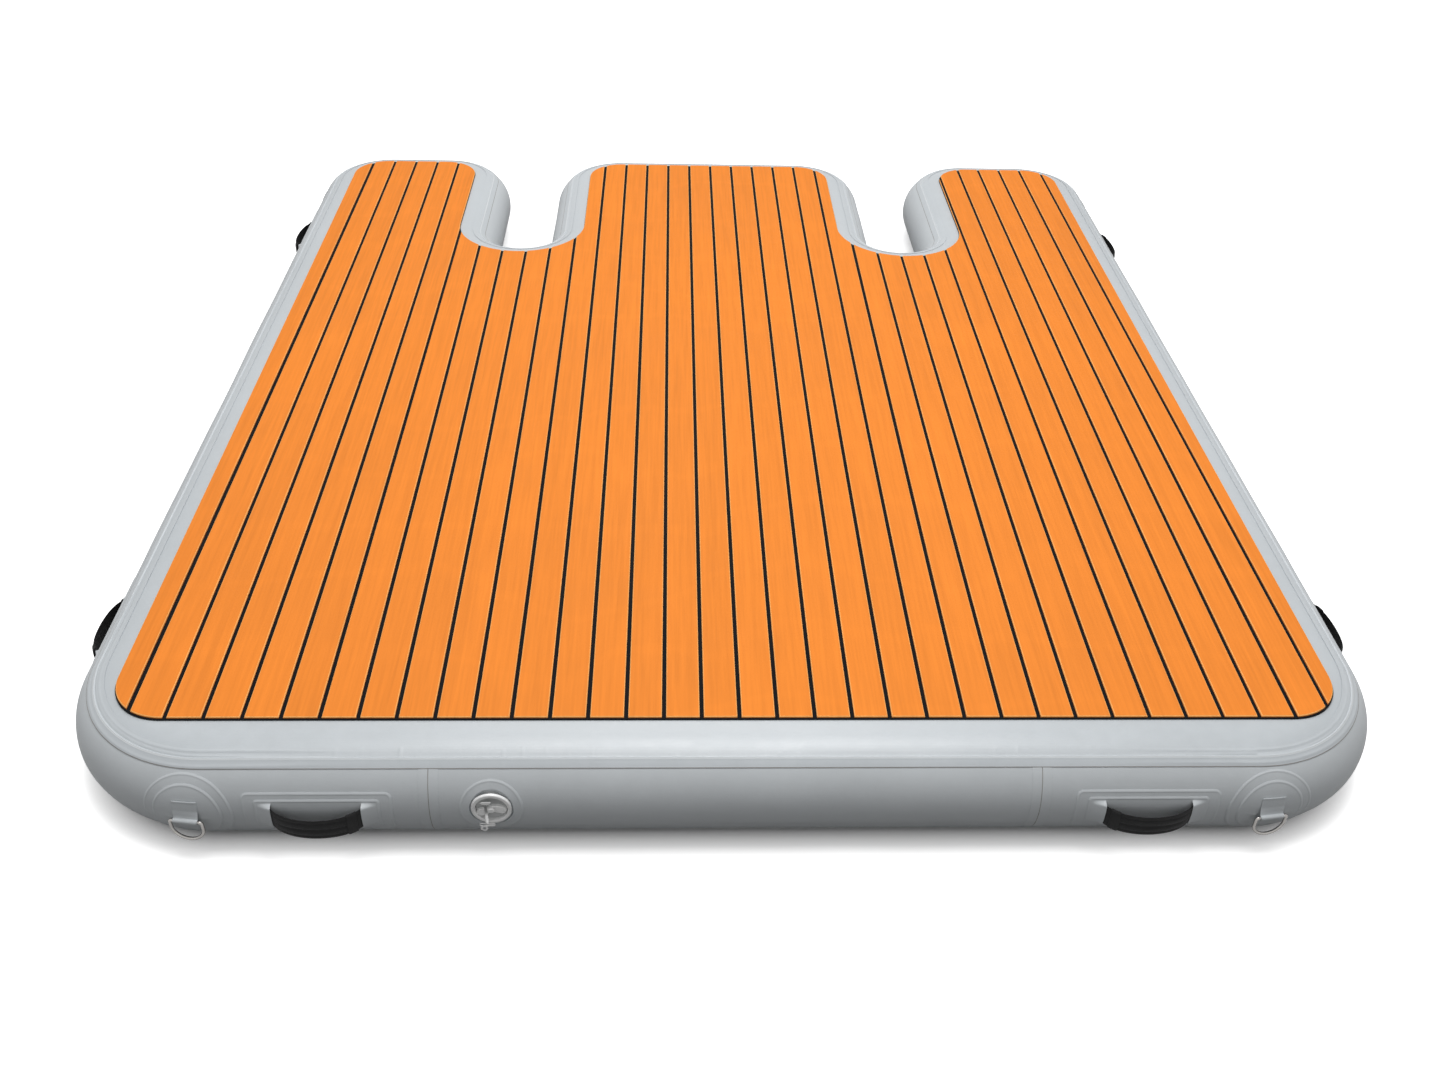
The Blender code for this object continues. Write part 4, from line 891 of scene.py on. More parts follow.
def shoulder_drop(x, y):
    """How far the hull falls away under a point of the deck's near corners."""
    past_x = abs(x) - NEAR_CORNER_X
    past_y = -PATH_HALF_LENGTH + NEAR_PATH_RADIUS - y
    beyond = math.hypot(max(past_x, 0), max(past_y, 0)) - NEAR_PATH_RADIUS
    if min(past_x, past_y) < 0 or beyond < 0:
        return 0.0
    return RAIL_RADIUS - math.sqrt(RAIL_RADIUS ** 2 - beyond ** 2)


def stacked_plate(outline, levels):
    """Points and faces of a plate seen in plan, from (inset, height) pairs, with its underside first."""
    points, faces = skinned([
        [(x, y, height) for x, y in (shifted(outline, inset, True, 0.5) if inset else outline)]
        for inset, height in levels
    ])
    return points, [faces[-2][::-1], *faces[:-2], faces[-1]]


def build_deck():
    """The foam deck: a dark sheet, and the planks that the grooves leave standing, with a painted highlight
    in lighter orange on their bevelled edges.
    """
    edge = plan_path(DECK_SIDE_MARGIN, DECK_FRONT_MARGIN, DECK_NEAR_CORNER_RADIUS, DECK_FAR_CORNER_RADIUS,
                     DECK_ARC_STEP, PLANK_STEP)
    points, faces = stacked_plate([station[:2] for station in edge], [
        (0, DECK_LOW), (0, DECK_SHEET_TOP - DECK_SHEET_BEVEL), (DECK_SHEET_BEVEL, DECK_SHEET_TOP),
    ])
    points[:len(edge)] = [(x, y, DECK_LOW - shoulder_drop(x, y)) for x, y, _ in points[:len(edge)]]
    dress(make_object("deck_sheet", points, faces, FOAM_BASE), "dock", "deck_pad")

    points = []
    faces = []
    bevel_highlight_faces = []
    top = DECK_SHEET_TOP + PLANK_THICKNESS
    inner_bevel = PLANK_BEVEL * PLANK_BEVEL_SHARE
    for outline in plank_outlines():
        plank_points, plank_faces = stacked_plate(outline, [
            (0, DECK_SHEET_TOP - DECK_SHEET_THICKNESS / 2), (0, top - PLANK_BEVEL),
            (inner_bevel, top - inner_bevel), (PLANK_BEVEL, top),
        ])
        # The bevel faces take the lighter orange of the painted highlight
        bevel_highlight_faces += range(len(faces) + 1 + len(outline), len(faces) + len(plank_faces) - 1)
        faces += [tuple(corner + len(points) for corner in face) for face in plank_faces]
        points += plank_points
    planks = make_object("deck_planks", points, faces, [FOAM, FOAM_BEVEL_HIGHLIGHT], PLANK_SMOOTH_ANGLE)
    mark_faces(planks, bevel_highlight_faces)
    dress(planks, "dock", "deck_pad", False)


# Patches on the wall

EDGE_BEAD = 0.0006
EDGE_BEAD_WIDTH = 0.0016
EDGE_BEAD_INSET = 0.0035
EDGE_ROUND = 0.0012
GRADED_STEP = 0.001
POCKET_MARGIN = 0.006
POCKET_EASE = 0.003
POCKET_POWER = 1.35


def wall_points(place, across, girth, lift, side=0):
    """Points on the wall in a fitting's place: across the wall, along its girth up, and out from it."""
    angle = QUARTER - girth / RAIL_RADIUS

    def spot(radius):
        return into_place(place, laid(side, across, radius * np.sin(angle), radius * np.cos(angle)))

    base = spot(np.full(np.shape(across), RAIL_RADIUS))
    return spot(RAIL_RADIUS + lift + ripple(base) * np.sin(angle) ** 2).reshape(-1, 3)


def wall_patch(name, node, place, grid, low, rise, faces, side=0):
    """A patch welded on the wall over a grid (across, girth), low under it and rise thick."""
    outer = wall_points(place, *grid, low + rise, side)
    inner = wall_points(place, *grid, low, side)
    used = sorted({int(corner) for face in faces for corner in face})
    fresh = {old: new for new, old in enumerate(used)}
    faces = [tuple(fresh[int(corner)] for corner in face) for face in faces]
    dress(shell(name, outer[used], inner[used], faces, PATCH), "dock", node)


def graded(half, fine_width, coarse_step):
    """Values from -half to half, close together near both ends."""
    middle = half - fine_width
    fine = list(np.arange(middle, half, GRADED_STEP)) + [half]
    coarse = even(-middle, middle, max(2, round(2 * middle / coarse_step)))
    return np.array([-value for value in reversed(fine)][:-1] + coarse + fine[1:])


def edged_rise(inside):
    """Thickness of a welded patch by the distance from its edge: thin there, with a low bead inside."""
    edge = 1 - np.exp(-np.maximum(inside, 0) / EDGE_ROUND) * 0.5
    bead = np.exp(-((inside - EDGE_BEAD_INSET) / EDGE_BEAD_WIDTH) ** 2)
    return PATCH_THICKNESS * edge + EDGE_BEAD * bead


def rounded_patch(length, height, corner, columns, rows):
    """A grid (across, girth) that fills a rectangle with rounded corners, and the patch's thickness there."""
    across, girth = np.meshgrid(columns, rows)
    shrink = np.sqrt(1 - np.clip((np.abs(girth) - (height / 2 - corner)) / corner, 0, 1) ** 2)
    straight = length / 2 - corner
    over = np.maximum(np.abs(across) - straight, 0)
    across = np.sign(across) * (np.minimum(np.abs(across), straight) + over * shrink)
    past_x = np.abs(across) - straight
    past_z = np.abs(girth) - (height / 2 - corner)
    outside = np.hypot(np.maximum(past_x, 0), np.maximum(past_z, 0))
    return across, girth, edged_rise(corner - outside - np.minimum(np.maximum(past_x, past_z), 0))


def polar_patch(radii, facets):
    """A grid (across, girth) of rings round a centre, turn by turn, its thickness by the last, and faces."""
    radius, turn = np.meshgrid(radii, np.linspace(0, 2 * math.pi, facets, endpoint=False))
    radius, turn = radius.ravel(), turn.ravel()
    rise = edged_rise(radii[-1] - radius)
    return radius * np.cos(turn), radius * np.sin(turn), rise, grid_faces(facets, len(radii), True)


def build_handle_base(which, place):
    """The reinforcing patch under a handle."""
    columns = graded(HANDLE_BASE_LENGTH / 2, 0.012, 0.008)
    rows = graded(HANDLE_BASE_HEIGHT / 2, 0.012, 0.004)
    *grid, rise = rounded_patch(HANDLE_BASE_LENGTH, HANDLE_BASE_HEIGHT, PATCH_CORNER, columns, rows)
    faces = grid_faces(len(rows), len(columns))
    wall_patch(f"base_patch_{which}", f"handle_base_{which}", place, grid, ON_WALL, rise, faces)


def pocket_height(across, girth):
    """How high the cover stands over a strap's end: a tent that is highest at its mouth."""
    along = np.clip(1 - (np.abs(across) - POCKET_SPACING / 2) / POCKET_LENGTH, 0, 1)
    spread = HANDLE_COVER_HEIGHT / 2 - POCKET_MARGIN
    fall = smooth_step((spread - np.abs(girth)) / (spread - POCKET_HEIGHT / 2 + POCKET_EASE))
    return POCKET_RISE * along ** POCKET_POWER * fall


def build_handle_cover(which, place):
    """The cover patch: flat between two slits, and raised over the strap's ends outside them."""
    mouth = POCKET_SPACING / 2
    rows = graded(HANDLE_COVER_HEIGHT / 2, 0.014, 0.003)
    outside = list(np.arange(mouth, HANDLE_COVER_LENGTH / 2, 0.0014)) + [HANDLE_COVER_LENGTH / 2]
    middle = even(-mouth, mouth, 40)
    columns = np.array([-value for value in reversed(outside)] + middle + outside)
    tented = np.array([True] * len(outside) + [False] * len(middle) + [True] * len(outside))
    *grid, rise = rounded_patch(HANDLE_COVER_LENGTH, HANDLE_COVER_HEIGHT, PATCH_CORNER * 0.6, columns, rows)
    tent = np.where(tented[None, :], pocket_height(*grid), 0)
    number = np.arange(tent.size).reshape(tent.shape)
    slits = (len(outside) - 1, len(outside) + len(middle) - 1)
    for slit in slits:
        flat = (tent[:, slit] == 0) & (tent[:, slit + 1] == 0)
        number[flat, slit + 1] = number[flat, slit]
    faces = [tuple(number.flat[corner] for corner in face) for face in grid_faces(len(rows), len(columns))
             if face[0] % len(columns) not in slits]
    wall_patch(f"cover_patch_{which}", f"handle_cover_{which}", place, grid, ON_PATCH + tent, rise, faces)


# Handle straps

STRAP_STATIONS = 64
STRAP_SPAN_SHARE = 0.985
STRAP_EDGE_POWER = 14
RIB_SHARES = (-0.34, 0.34)
RIB_HALF_SHARE = 0.27
HEM_RISE = 0.35
HEM_START = 0.66
HEM_EASE = 0.1
CUFF_SPREAD = 1.02


def strap_line():
    """The strap's middle line as (x, out, sag), tucked into a pocket at each end."""
    half = POCKET_SPACING / 2 * STRAP_SPAN_SHARE
    line = []
    for step in even(-QUARTER, QUARTER, STRAP_STATIONS):
        share = math.sin(step)
        bow = STRAP_BOW * (1 - share * share) ** 0.8 - STRAP_DIP * share ** 8
        line.append((half * share, bow, -STRAP_SAG * (1 - share * share)))
    tuck = [(half + STRAP_TUCK * share, -STRAP_DIP - STRAP_TUCK_DROP * share ** 1.2, 0.0)
            for share in even(1, 0, 5)[:-1]]
    return np.array([(-x, out, sag) for x, out, sag in tuck] + line + tuck[::-1])


def strap_normals():
    """The outward direction at each station of a strap's middle line."""
    tangent = np.gradient(STRAP_LINE[:, :2], axis=0)
    tangent /= np.linalg.norm(tangent, axis=1)[:, None]
    return np.stack([-tangent[:, 1], tangent[:, 0]], axis=1)


STRAP_LINE = strap_line()
STRAP_NORMALS = strap_normals()
STRAP_BOWED = smooth_step(STRAP_LINE[:, 1] / STRAP_BOW)


def strap_ring(place, index, faces, tall):
    """One ring of points round the strap at a station, from (share up, offset) pairs."""
    ring = []
    for share, offset in faces:
        up = share * tall
        x, out = STRAP_LINE[index, :2] + STRAP_NORMALS[index] * offset
        follow = (1 - STRAP_BOWED[index]) * up * up / (2 * RAIL_OUT)
        ring.append(place @ Vector((x, follow - STRAP_AXIS_OUT - out, STRAP_LINE[index, 2] + up)))
    return ring


def strap_faces(bowed, extra=0.0):
    """The strap's two faces: a padded front with two ribs and hems, and a flat back."""
    def thin(share):
        return 0.25 + 0.75 * max(0.0, 1 - abs(share) ** STRAP_EDGE_POWER) ** 0.5

    front = []
    for share in even(1, -1, 26):
        pad = sum(max(0.0, 1 - ((share - rib) / RIB_HALF_SHARE) ** 2) ** 0.5 for rib in RIB_SHARES)
        hem = HEM_RISE * smooth_step((abs(share) - HEM_START) / HEM_EASE)
        front.append((share, (STRAP_WEB / 2 + STRAP_PAD * bowed * (pad + hem) + extra) * thin(share)))
    return front, [(share, -(STRAP_WEB / 2 + extra) * thin(share)) for share in even(-1, 1, 10)]


def build_strap(which, place, cuff_side):
    """The black strap: padded webbing, bowed out, with a sewn cuff near one end."""
    rings = []
    for index, bowed in enumerate(STRAP_BOWED):
        front, back = strap_faces(bowed)
        rings.append(strap_ring(place, index, front + back, STRAP_HEIGHT / 2))
    strap = loft(f"strap_web_{which}", rings, BLACK_WEB, smooth=CLOTH_SMOOTH_ANGLE)

    lengths = path_lengths(STRAP_LINE)
    start = STRAP_TUCK + STRAP_BOW * 0.55
    if cuff_side > 0:
        lengths = lengths[-1] - lengths
    chosen = [index for index, value in enumerate(lengths) if start <= value <= start + CUFF_WIDTH]
    rings = []
    for index in chosen:
        front, back = strap_faces(0.0, CUFF_WALL * (0.45 if index in (chosen[0], chosen[-1]) else 1.0))
        front = [(share, offset + STRAP_PAD * 0.95 * (1 - abs(share) ** 6)) for share, offset in front]
        faces = [(share * CUFF_SPREAD, offset) for share, offset in front + back]
        rings.append(strap_ring(place, index, faces, STRAP_HEIGHT / 2 + CUFF_WALL))
    cuff = loft(f"strap_cuff_{which}", rings, BLACK_WEB, smooth=CLOTH_SMOOTH_ANGLE)
    for piece in (strap, cuff):
        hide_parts(f"handle_strap_{which}")
        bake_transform(piece)


def build_handles():
    """Six handles: base patch, cover patch and strap."""
    for which, place in HANDLES.items():
        build_handle_base(which, place)
        build_handle_cover(which, place)
        build_strap(which, place, -1 if which == "front_right" else 1)


# Mooring rings

PULL_CREASES = ((-1, 6, 0.03), (-1, -12, 0.022), (-1, -34, 0.02),
                (1, 14, 0.018), (1, -4, 0.024), (1, -30, 0.018))
PULL_HEIGHT = 0.0011
PULL_WIDTH = 0.0016
PULL_START = 0.004
TAB_FOLD = 0.0009
TAB_EDGE_POWER = 18
PATCH_RIM = 0.01
PATCH_RIM_ROWS = 12
DISC_FACETS = 96
DISC_STEP = 0.002
WIRE_FACETS = 28


def pull_creases(across, girth):
    """Ridges that run out over the patch from the ends of the tab's loop."""
    total = np.zeros(np.shape(across))
    for side, degrees, length in PULL_CREASES:
        angle = math.radians(degrees)
        along_x = side * (across - side * TAB_WIDTH / 2)
        along_z = girth + BAR_DROP
        along = along_x * math.cos(angle) + along_z * math.sin(angle)
        beside = along_z * math.cos(angle) - along_x * math.sin(angle)
        fade = smooth_step(along / PULL_START) * (1 - smooth_step(along / length))
        total = np.maximum(total, fade * np.exp(-(beside / PULL_WIDTH) ** 2))
    return PULL_HEIGHT * total


def disc_patch(name, node, place, side, diameter, low, creased):
    """A round patch welded on the wall, in rings from its centre to its beaded edge."""
    rim = diameter / 2 - PATCH_RIM
    radii = list(np.arange(DISC_STEP, rim, DISC_STEP)) + even(rim, diameter / 2, PATCH_RIM_ROWS)
    across, girth, rise, faces = polar_patch(radii, DISC_FACETS)
    centre = len(across)
    starts = [row * len(radii) for row in range(DISC_FACETS)]
    faces += [(here, there, centre) for here, there in zip(starts, starts[1:] + starts[:1])]
    across, girth = np.append(across, 0.0), np.append(girth, 0.0)
    rise = np.append(rise, edged_rise(diameter / 2))
    if creased:
        rise = rise + pull_creases(across, girth)
    wall_patch(name, node, place, (across, girth), low, rise, faces, side)


def hinge_place(place, side):
    """The frame of a ring's bar. On a near corner it stands over the corner's first flat of six."""
    turn = side * QUARTER / RING_FLATS
    share = RING_PAST_CORNER / (2 * NEAR_CORNER_RADIUS * math.sin(QUARTER / RING_FLATS / 2)) if side else 0
    reach = NEAR_PATH_RADIUS + BAR_OUT
    back = reach * (1 - share + share * math.cos(turn)) - NEAR_PATH_RADIUS
    bar = Matrix.Translation((reach * share * math.sin(turn), -back, BAR_UP))
    return place @ bar @ Matrix.Rotation(turn / 2, 4, "Z")


def build_ring_tab(which, place, side):
    """The welded tab: down the patch, round the ring's bar, and back to the patch below it."""
    wall_out = RAIL_RADIUS + ON_PATCH + PATCH_THICKNESS + SEAT_GAP + TAB_THICKNESS / 2 + EDGE_BEAD * 0.5
    loop = RING_WIRE / 2 + BAR_CLEARANCE + TAB_THICKNESS / 2
    bottom = BAR_UP - TAB_RETURNS_BELOW

    def on_wall(top, low, count):
        angles = [QUARTER - girth / RAIL_RADIUS for girth in even(top, low, count)]
        return [(wall_out * math.sin(angle), wall_out * math.cos(angle)) for angle in angles]

    upper = on_wall(TAB_TOP, TAB_LEAVES_ABOVE, 12)
    lower = on_wall(bottom, bottom - TAB_TAIL, 6)
    round_bar = [(BAR_OUT + loop * math.cos(angle), BAR_UP + loop * math.sin(angle))
                 for angle in even(TAB_WRAP_ANGLE, -TAB_WRAP_ANGLE, 28)]
    line = upper + bridge(upper[-1], round_bar[0], 4) + round_bar + bridge(round_bar[-1], lower[0], 4) + lower
    fold = [TAB_THICKNESS / 2 + (TAB_FOLD * math.exp(-((index - 0.7) / 0.9) ** 2) if index < 4 else 0)
            for index in range(len(line))]
    section = np.array(shifted(line, fold) + shifted(line, -TAB_THICKNESS / 2)[::-1])
    middle = (section + section[::-1]) / 2
    hinge = hinge_place(place, side)
    leaves = wall_out + 0.001
    rings = []
    for share in even(-1, 1, 20):
        keep = 0.45 + 0.55 * max(0.0, 1 - abs(share) ** TAB_EDGE_POWER)
        out, up = (middle + (section - middle) * keep).T
        across = np.full(len(out), share * TAB_WIDTH / 2 * (1 - TAB_TAPER * abs(side)))
        on_patch = into_place(place, laid(side, across, out, up))
        on_bar = into_place(hinge, laid(0, across, out - BAR_OUT, up - BAR_UP))
        weight = smooth_step((out - leaves) / (BAR_OUT - loop * 0.6 - leaves))[:, None]
        rings.append(on_patch + (on_bar - on_patch) * weight)
    piece = loft(f"tab_{which}", rings, TAB, smooth=CLOTH_SMOOTH_ANGLE)
    dress(piece, "dock", f"ring_tab_{which}")


def build_d_ring(which, place, side):
    """A ring of round wire: a straight bar in the tab, and a half-round bow hanging from it."""
    half = (RING_WIDTH - RING_WIRE) / 2
    drop = RING_HEIGHT - RING_WIRE - half
    line = [(half - RING_BEND * (1 - math.cos(angle)), RING_BEND * (math.sin(angle) - 1))
            for angle in even(QUARTER, 0, 10)]
    line += [(half * math.cos(angle), half * math.sin(angle) - drop) for angle in even(0, -math.pi, 60)]
    line += [(RING_BEND * (1 + math.cos(angle)) - half, RING_BEND * (math.sin(angle) - 1))
             for angle in even(math.pi, QUARTER, 10)]
    line += bridge(line[-1], line[0], 12)
    hinge = hinge_place(place, side)
    turns = [(RING_WIRE / 2 * math.cos(angle), RING_WIRE / 2 * math.sin(angle))
             for angle in even(0, 2 * math.pi, WIRE_FACETS)[:-1]]
    rings = []
    for index, (x, z) in enumerate(line):
        along = (Vector(line[(index + 1) % len(line)]) - Vector(line[index - 1])).normalized()
        rings.append([hinge @ Vector((x - along.y * across, out, z + along.x * across))
                      for across, out in turns])
    piece = loft(f"d_ring_{which}", rings, STEEL, True)
    dress(piece, f"ring_{which}", f"mooring_ring_{which}")


def build_rings():
    """Four mooring rings, each on two round patches and a folded tab."""
    for which, (place, side) in RINGS.items():
        disc_patch(f"round_patch_{which}", f"ring_patch_{which}", place, side,
                   RING_PATCH_DIAMETER, ON_WALL, False)
        disc_patch(f"round_disc_{which}", f"ring_disc_{which}", place, side,
                   RING_DISC_DIAMETER, ON_PATCH, True)
        build_ring_tab(which, place, side)
        build_d_ring(which, place, side)


# Air valve

TURN_FACETS = 96
SURROUND_FACETS = 120
SURROUND_RIM = 0.009
CUT_REACH = 0.01
GRIP_SPINE = ((-0.0178, -0.0088), (-0.0120, -0.0072), (-0.0050, -0.0030), (0.0030, -0.0002),
              (0.0110, -0.0008), (0.0182, -0.0032))
GRIP_HALF_WIDTHS = (0.0082, 0.0080, 0.0062, 0.0076, 0.0082, 0.0080)


def turned(name, profile, material, place=VALVE):
    """A solid turned about the fitting's outward axis from (radius, distance out) points."""
    points = []
    rings = []
    for radius, out in profile:
        count = 1 if radius == 0 else TURN_FACETS
        rings.append([len(points) + step for step in range(count)])
        for angle in even(0, 2 * math.pi, TURN_FACETS)[:count]:
            points.append(place @ Vector((radius * math.cos(angle), -out, radius * math.sin(angle))))
    pairs = list(zip(rings, rings[1:]))
    if len(rings[0]) > 1:
        pairs.append((rings[-1], rings[0]))
    faces = []
    for first, second in pairs:
        for index in range(TURN_FACETS if len(first) + len(second) > 2 else 0):
            after = (index + 1) % TURN_FACETS
            corners = [first[index % len(first)], first[after % len(first)],
                       second[after % len(second)], second[index % len(second)]]
            faces.append(tuple(dict.fromkeys(corners)))
    return make_object(name, points, faces, material)


def tube(name, bore, diameter, low, high, place=VALVE):
    """A white turned ring between two distances out."""
    profile = [(bore / 2, high), (diameter / 2, high), (diameter / 2, low), (bore / 2, low)]
    return turned(name, profile, WHITE, place)


def valve_cutter():
    """The recess and the pocket that the valve sits in."""
    beyond = RAIL_OUT + CUT_REACH
    return turned("valve_room", [
        (0, beyond),
        (RECESS_DIAMETER / 2, beyond),
        (RECESS_DIAMETER / 2, VALVE_FLOOR),
        (POCKET_DIAMETER / 2, VALVE_FLOOR),
        (POCKET_DIAMETER / 2, VALVE_FLOOR - POCKET_DEPTH),
        (0, VALVE_FLOOR - POCKET_DEPTH),
    ], SKIN)


def plate(name, outline, low, high):
    """A white plate from an outline in x and z, between two distances out."""
    return loft(name, [[VALVE @ Vector((x, -out, z)) for x, z in outline] for out in (low, high)], WHITE)


def rounded_box(x0, z0, x1, z1, corner, facets=5):
    """The outline of a rectangle with rounded corners."""
    centres = [(x1 - corner, z1 - corner), (x0 + corner, z1 - corner),
               (x0 + corner, z0 + corner), (x1 - corner, z0 + corner)]
    return [(x + corner * math.cos(angle), z + corner * math.sin(angle))
            for number, (x, z) in enumerate(centres)
            for angle in even(number * QUARTER, (number + 1) * QUARTER, facets)]


def build_valve_body():
    """The flange with its rounded rim, the bowl, and the tube that passes into the hull."""
    bowl = FLANGE_FRONT - BOWL_DEPTH
    rim = 2 * FLANGE_RIM
    profile = [
        (BOWL_DIAMETER / 2 + MOULD_EDGE, FLANGE_FRONT - MOULD_EDGE / 4),
        (BOWL_DIAMETER / 2 + 3 * MOULD_EDGE, FLANGE_FRONT + MOULD_EDGE),
    ]
    profile += [(FLANGE_DIAMETER / 2 - rim + rim * math.cos(angle),
                 FLANGE_FRONT - rim + MOULD_EDGE + rim * math.sin(angle)) for angle in even(QUARTER, 0, 6)]
    profile += [
        (FLANGE_DIAMETER / 2, FLANGE_BACK),
        (NECK_DIAMETER / 2, FLANGE_BACK),
        (NECK_DIAMETER / 2, bowl - NECK_FLOOR),
        (TUBE_DIAMETER / 2, bowl - NECK_FLOOR),
        (TUBE_DIAMETER / 2, FLANGE_BACK - TUBE_LENGTH),
        (BORE_DIAMETER / 2, FLANGE_BACK - TUBE_LENGTH),
        (BORE_DIAMETER / 2, VALVE_SEAT - SEAT_THICKNESS),
        (STEM_DIAMETER / 2 + STEM_CLEARANCE, VALVE_SEAT - SEAT_THICKNESS),
        (STEM_DIAMETER / 2 + STEM_CLEARANCE, VALVE_SEAT),
        (BORE_DIAMETER / 2, VALVE_SEAT),
        (BORE_DIAMETER / 2, bowl),
        (BOWL_DIAMETER / 2, bowl),
    ]
    dress(turned("valve_flange", profile, WHITE), "dock", "valve_body")


def grip_outline():
    """The cap's grip seen from outside: a bent bar with two broad round lobes."""
    spine = [Vector(point) for point in GRIP_SPINE]
    left = []
    right = []
    for index, (point, half) in enumerate(zip(spine, GRIP_HALF_WIDTHS)):
        along = (spine[min(index + 1, len(spine) - 1)] - spine[max(index - 1, 0)]).normalized()
        beside = Vector((-along.y, along.x))
        left.append(tuple(point + beside * half))
        right.append(tuple(point - beside * half))

    def lobe(end, near, half):
        along = (end - near).normalized()
        start = math.atan2(along.y, along.x) + QUARTER
        return [(end.x + half * math.cos(start - turn), end.y + half * math.sin(start - turn))
                for turn in even(0, math.pi, 12)[1:-1]]

    return (left + lobe(spine[-1], spine[-2], GRIP_HALF_WIDTHS[-1]) + right[::-1]
            + lobe(spine[0], spine[1], GRIP_HALF_WIDTHS[0]))


def build_cap():
    """The screw cap: a grey disc with a skirt in the bore, a white grip, and a headed post."""
    back = FLANGE_FRONT - BOWL_DEPTH + SEAT_GAP
    face = back + CAP_THICKNESS
    skirt = BORE_DIAMETER / 2 - CAP_CLEARANCE
    rim = BOWL_DIAMETER / 2 - CAP_CLEARANCE
    cap = turned("cap_disc", [
        (0, face - MOULD_EDGE),
        (rim - CAP_RIM_WIDTH, face - MOULD_EDGE),
        (rim - CAP_RIM_WIDTH + CAP_RIM_SLOPE, face + MOULD_EDGE),
        (rim - CAP_ROUND, face + MOULD_EDGE),
        (rim, face - 2 * MOULD_EDGE),
        (rim, back),
        (skirt, back),
        (skirt, back - SKIRT_LENGTH),
        (skirt - SKIRT_WALL, back - SKIRT_LENGTH),
        (skirt - SKIRT_WALL, back),
        (0, back),
    ], CAP_GREY)
    dress(cap, "cap", "valve_cap")
    grip = plate("cap_grip", grip_outline(), face - CAP_THICKNESS / 2, face + GRIP_HEIGHT)
    soften(grip, GRIP_ROUND, 3)
    dress(grip, "cap", "valve_cap", False)
    head = FLANGE_FRONT + STRIP_THICKNESS + 2 * SEAT_GAP
    post = turned("cap_post", [
        (0, head + POST_HEAD_THICKNESS),
        (POST_HEAD_DIAMETER / 2 - 2 * MOULD_EDGE, head + POST_HEAD_THICKNESS),
        (POST_HEAD_DIAMETER / 2, head + 1.5 * MOULD_EDGE),
        (POST_HEAD_DIAMETER / 2, head),
        (POST_DIAMETER / 2, head),
        (POST_DIAMETER / 2, face),
        (0, face),
    ], WHITE)
    dress(post, "cap", "valve_cap", False)


def build_strip():
    """The retaining strip: an eye round the cap's post, a T-headed bar beside it, ears and a loop."""
    face = FLANGE_FRONT + 2 * SEAT_GAP + MOULD_EDGE
    high = face + STRIP_THICKNESS - SEAT_GAP
    strip = tube("retaining_strip", POST_DIAMETER + 2 * EYE_CLEARANCE, EYE_DIAMETER, face, high)
    half = STRIP_WIDTH / 2
    bar_x = -STRIP_OFFSET
    low = -STRIP_DROP
    flare = CROSSBAR_SPAN / 2
    ear = EAR_SPAN / 2
    crossbar = [
        (bar_x - flare * 0.7, STRIP_TOP - CROSSBAR_HEIGHT * 0.1), (bar_x + flare, STRIP_TOP),
        (bar_x + flare * 0.8, STRIP_TOP - CROSSBAR_HEIGHT), (bar_x + half, STRIP_TOP - CROSSBAR_HEIGHT * 1.6),
        (bar_x - half, STRIP_TOP - CROSSBAR_HEIGHT * 1.5),
        (bar_x - flare, STRIP_TOP - CROSSBAR_HEIGHT * 0.75),
    ]
    outlines = {
        "strip_arm": rounded_box(bar_x, -half, -(EYE_DIAMETER + POST_DIAMETER) / 4, half, STRIP_CORNER),
        "strip_bar": rounded_box(bar_x - half, low + STRIP_LAP, bar_x + half, STRIP_TOP - STRIP_LAP,
                                 STRIP_CORNER),
        "strip_crossbar": crossbar,
        "strip_ears": rounded_box(bar_x - ear, low, bar_x + ear, low + EAR_HEIGHT, EAR_HEIGHT * 0.48, 8),
    }
    for number, (name, outline) in enumerate(outlines.items()):
        lean = number * 0.00001
        combine(strip, plate(name, outline, face - lean, high + lean), "UNION")
    hole_x = bar_x - ear / 2 - half / 2
    hole = rounded_box(hole_x - EAR_HOLE_HALF_LENGTH, low + EAR_HOLE_WALL, hole_x + EAR_HOLE_HALF_LENGTH,
                       low + EAR_HEIGHT - EAR_HOLE_WALL, EAR_HOLE_CORNER)
    combine(strip, plate("ear_hole", hole, face - 0.002, high + 0.002), "DIFFERENCE")
    loop_place = VALVE @ Matrix.Translation((bar_x - LOOP_OFFSET, 0, low + LOOP_LAP - LOOP_DIAMETER / 2))
    loop = tube("strip_loop", LOOP_HOLE_DIAMETER, LOOP_DIAMETER, face - MOULD_EDGE / 4, high + MOULD_EDGE / 4,
                loop_place)
    dress(combine(strip, loop, "UNION"), "cap_strip", "cap_strip")


def build_surround():
    """The round patch welded about the valve's recess."""
    half = VALVE_PATCH_DIAMETER / 2
    radii = even(RECESS_DIAMETER / 2, half - SURROUND_RIM, 4) + even(half - SURROUND_RIM, half, 10)[1:]
    across, girth, rise, faces = polar_patch(radii, SURROUND_FACETS)
    centre = fitting_place(VALVE_FROM_JOINT - FRONT_JOINT_X, -PATH_HALF_LENGTH, 0)
    wall_patch("valve_surround", "valve_patch", centre, (across, girth + VALVE_RISE), ON_WALL, rise, faces)


def only_material(data, material):
    """Give a mesh one material in place of those it has."""
    data.materials.clear()
    data.materials.append(material)


def build_spring():
    """The valve's return spring: the frame's own spring mesh, copied under steel."""
    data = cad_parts["valve_spring"].data.copy()
    only_material(data, STEEL)
    piece = dress(new_object("return_spring", data), "dock", "valve_spring")
    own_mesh(piece)


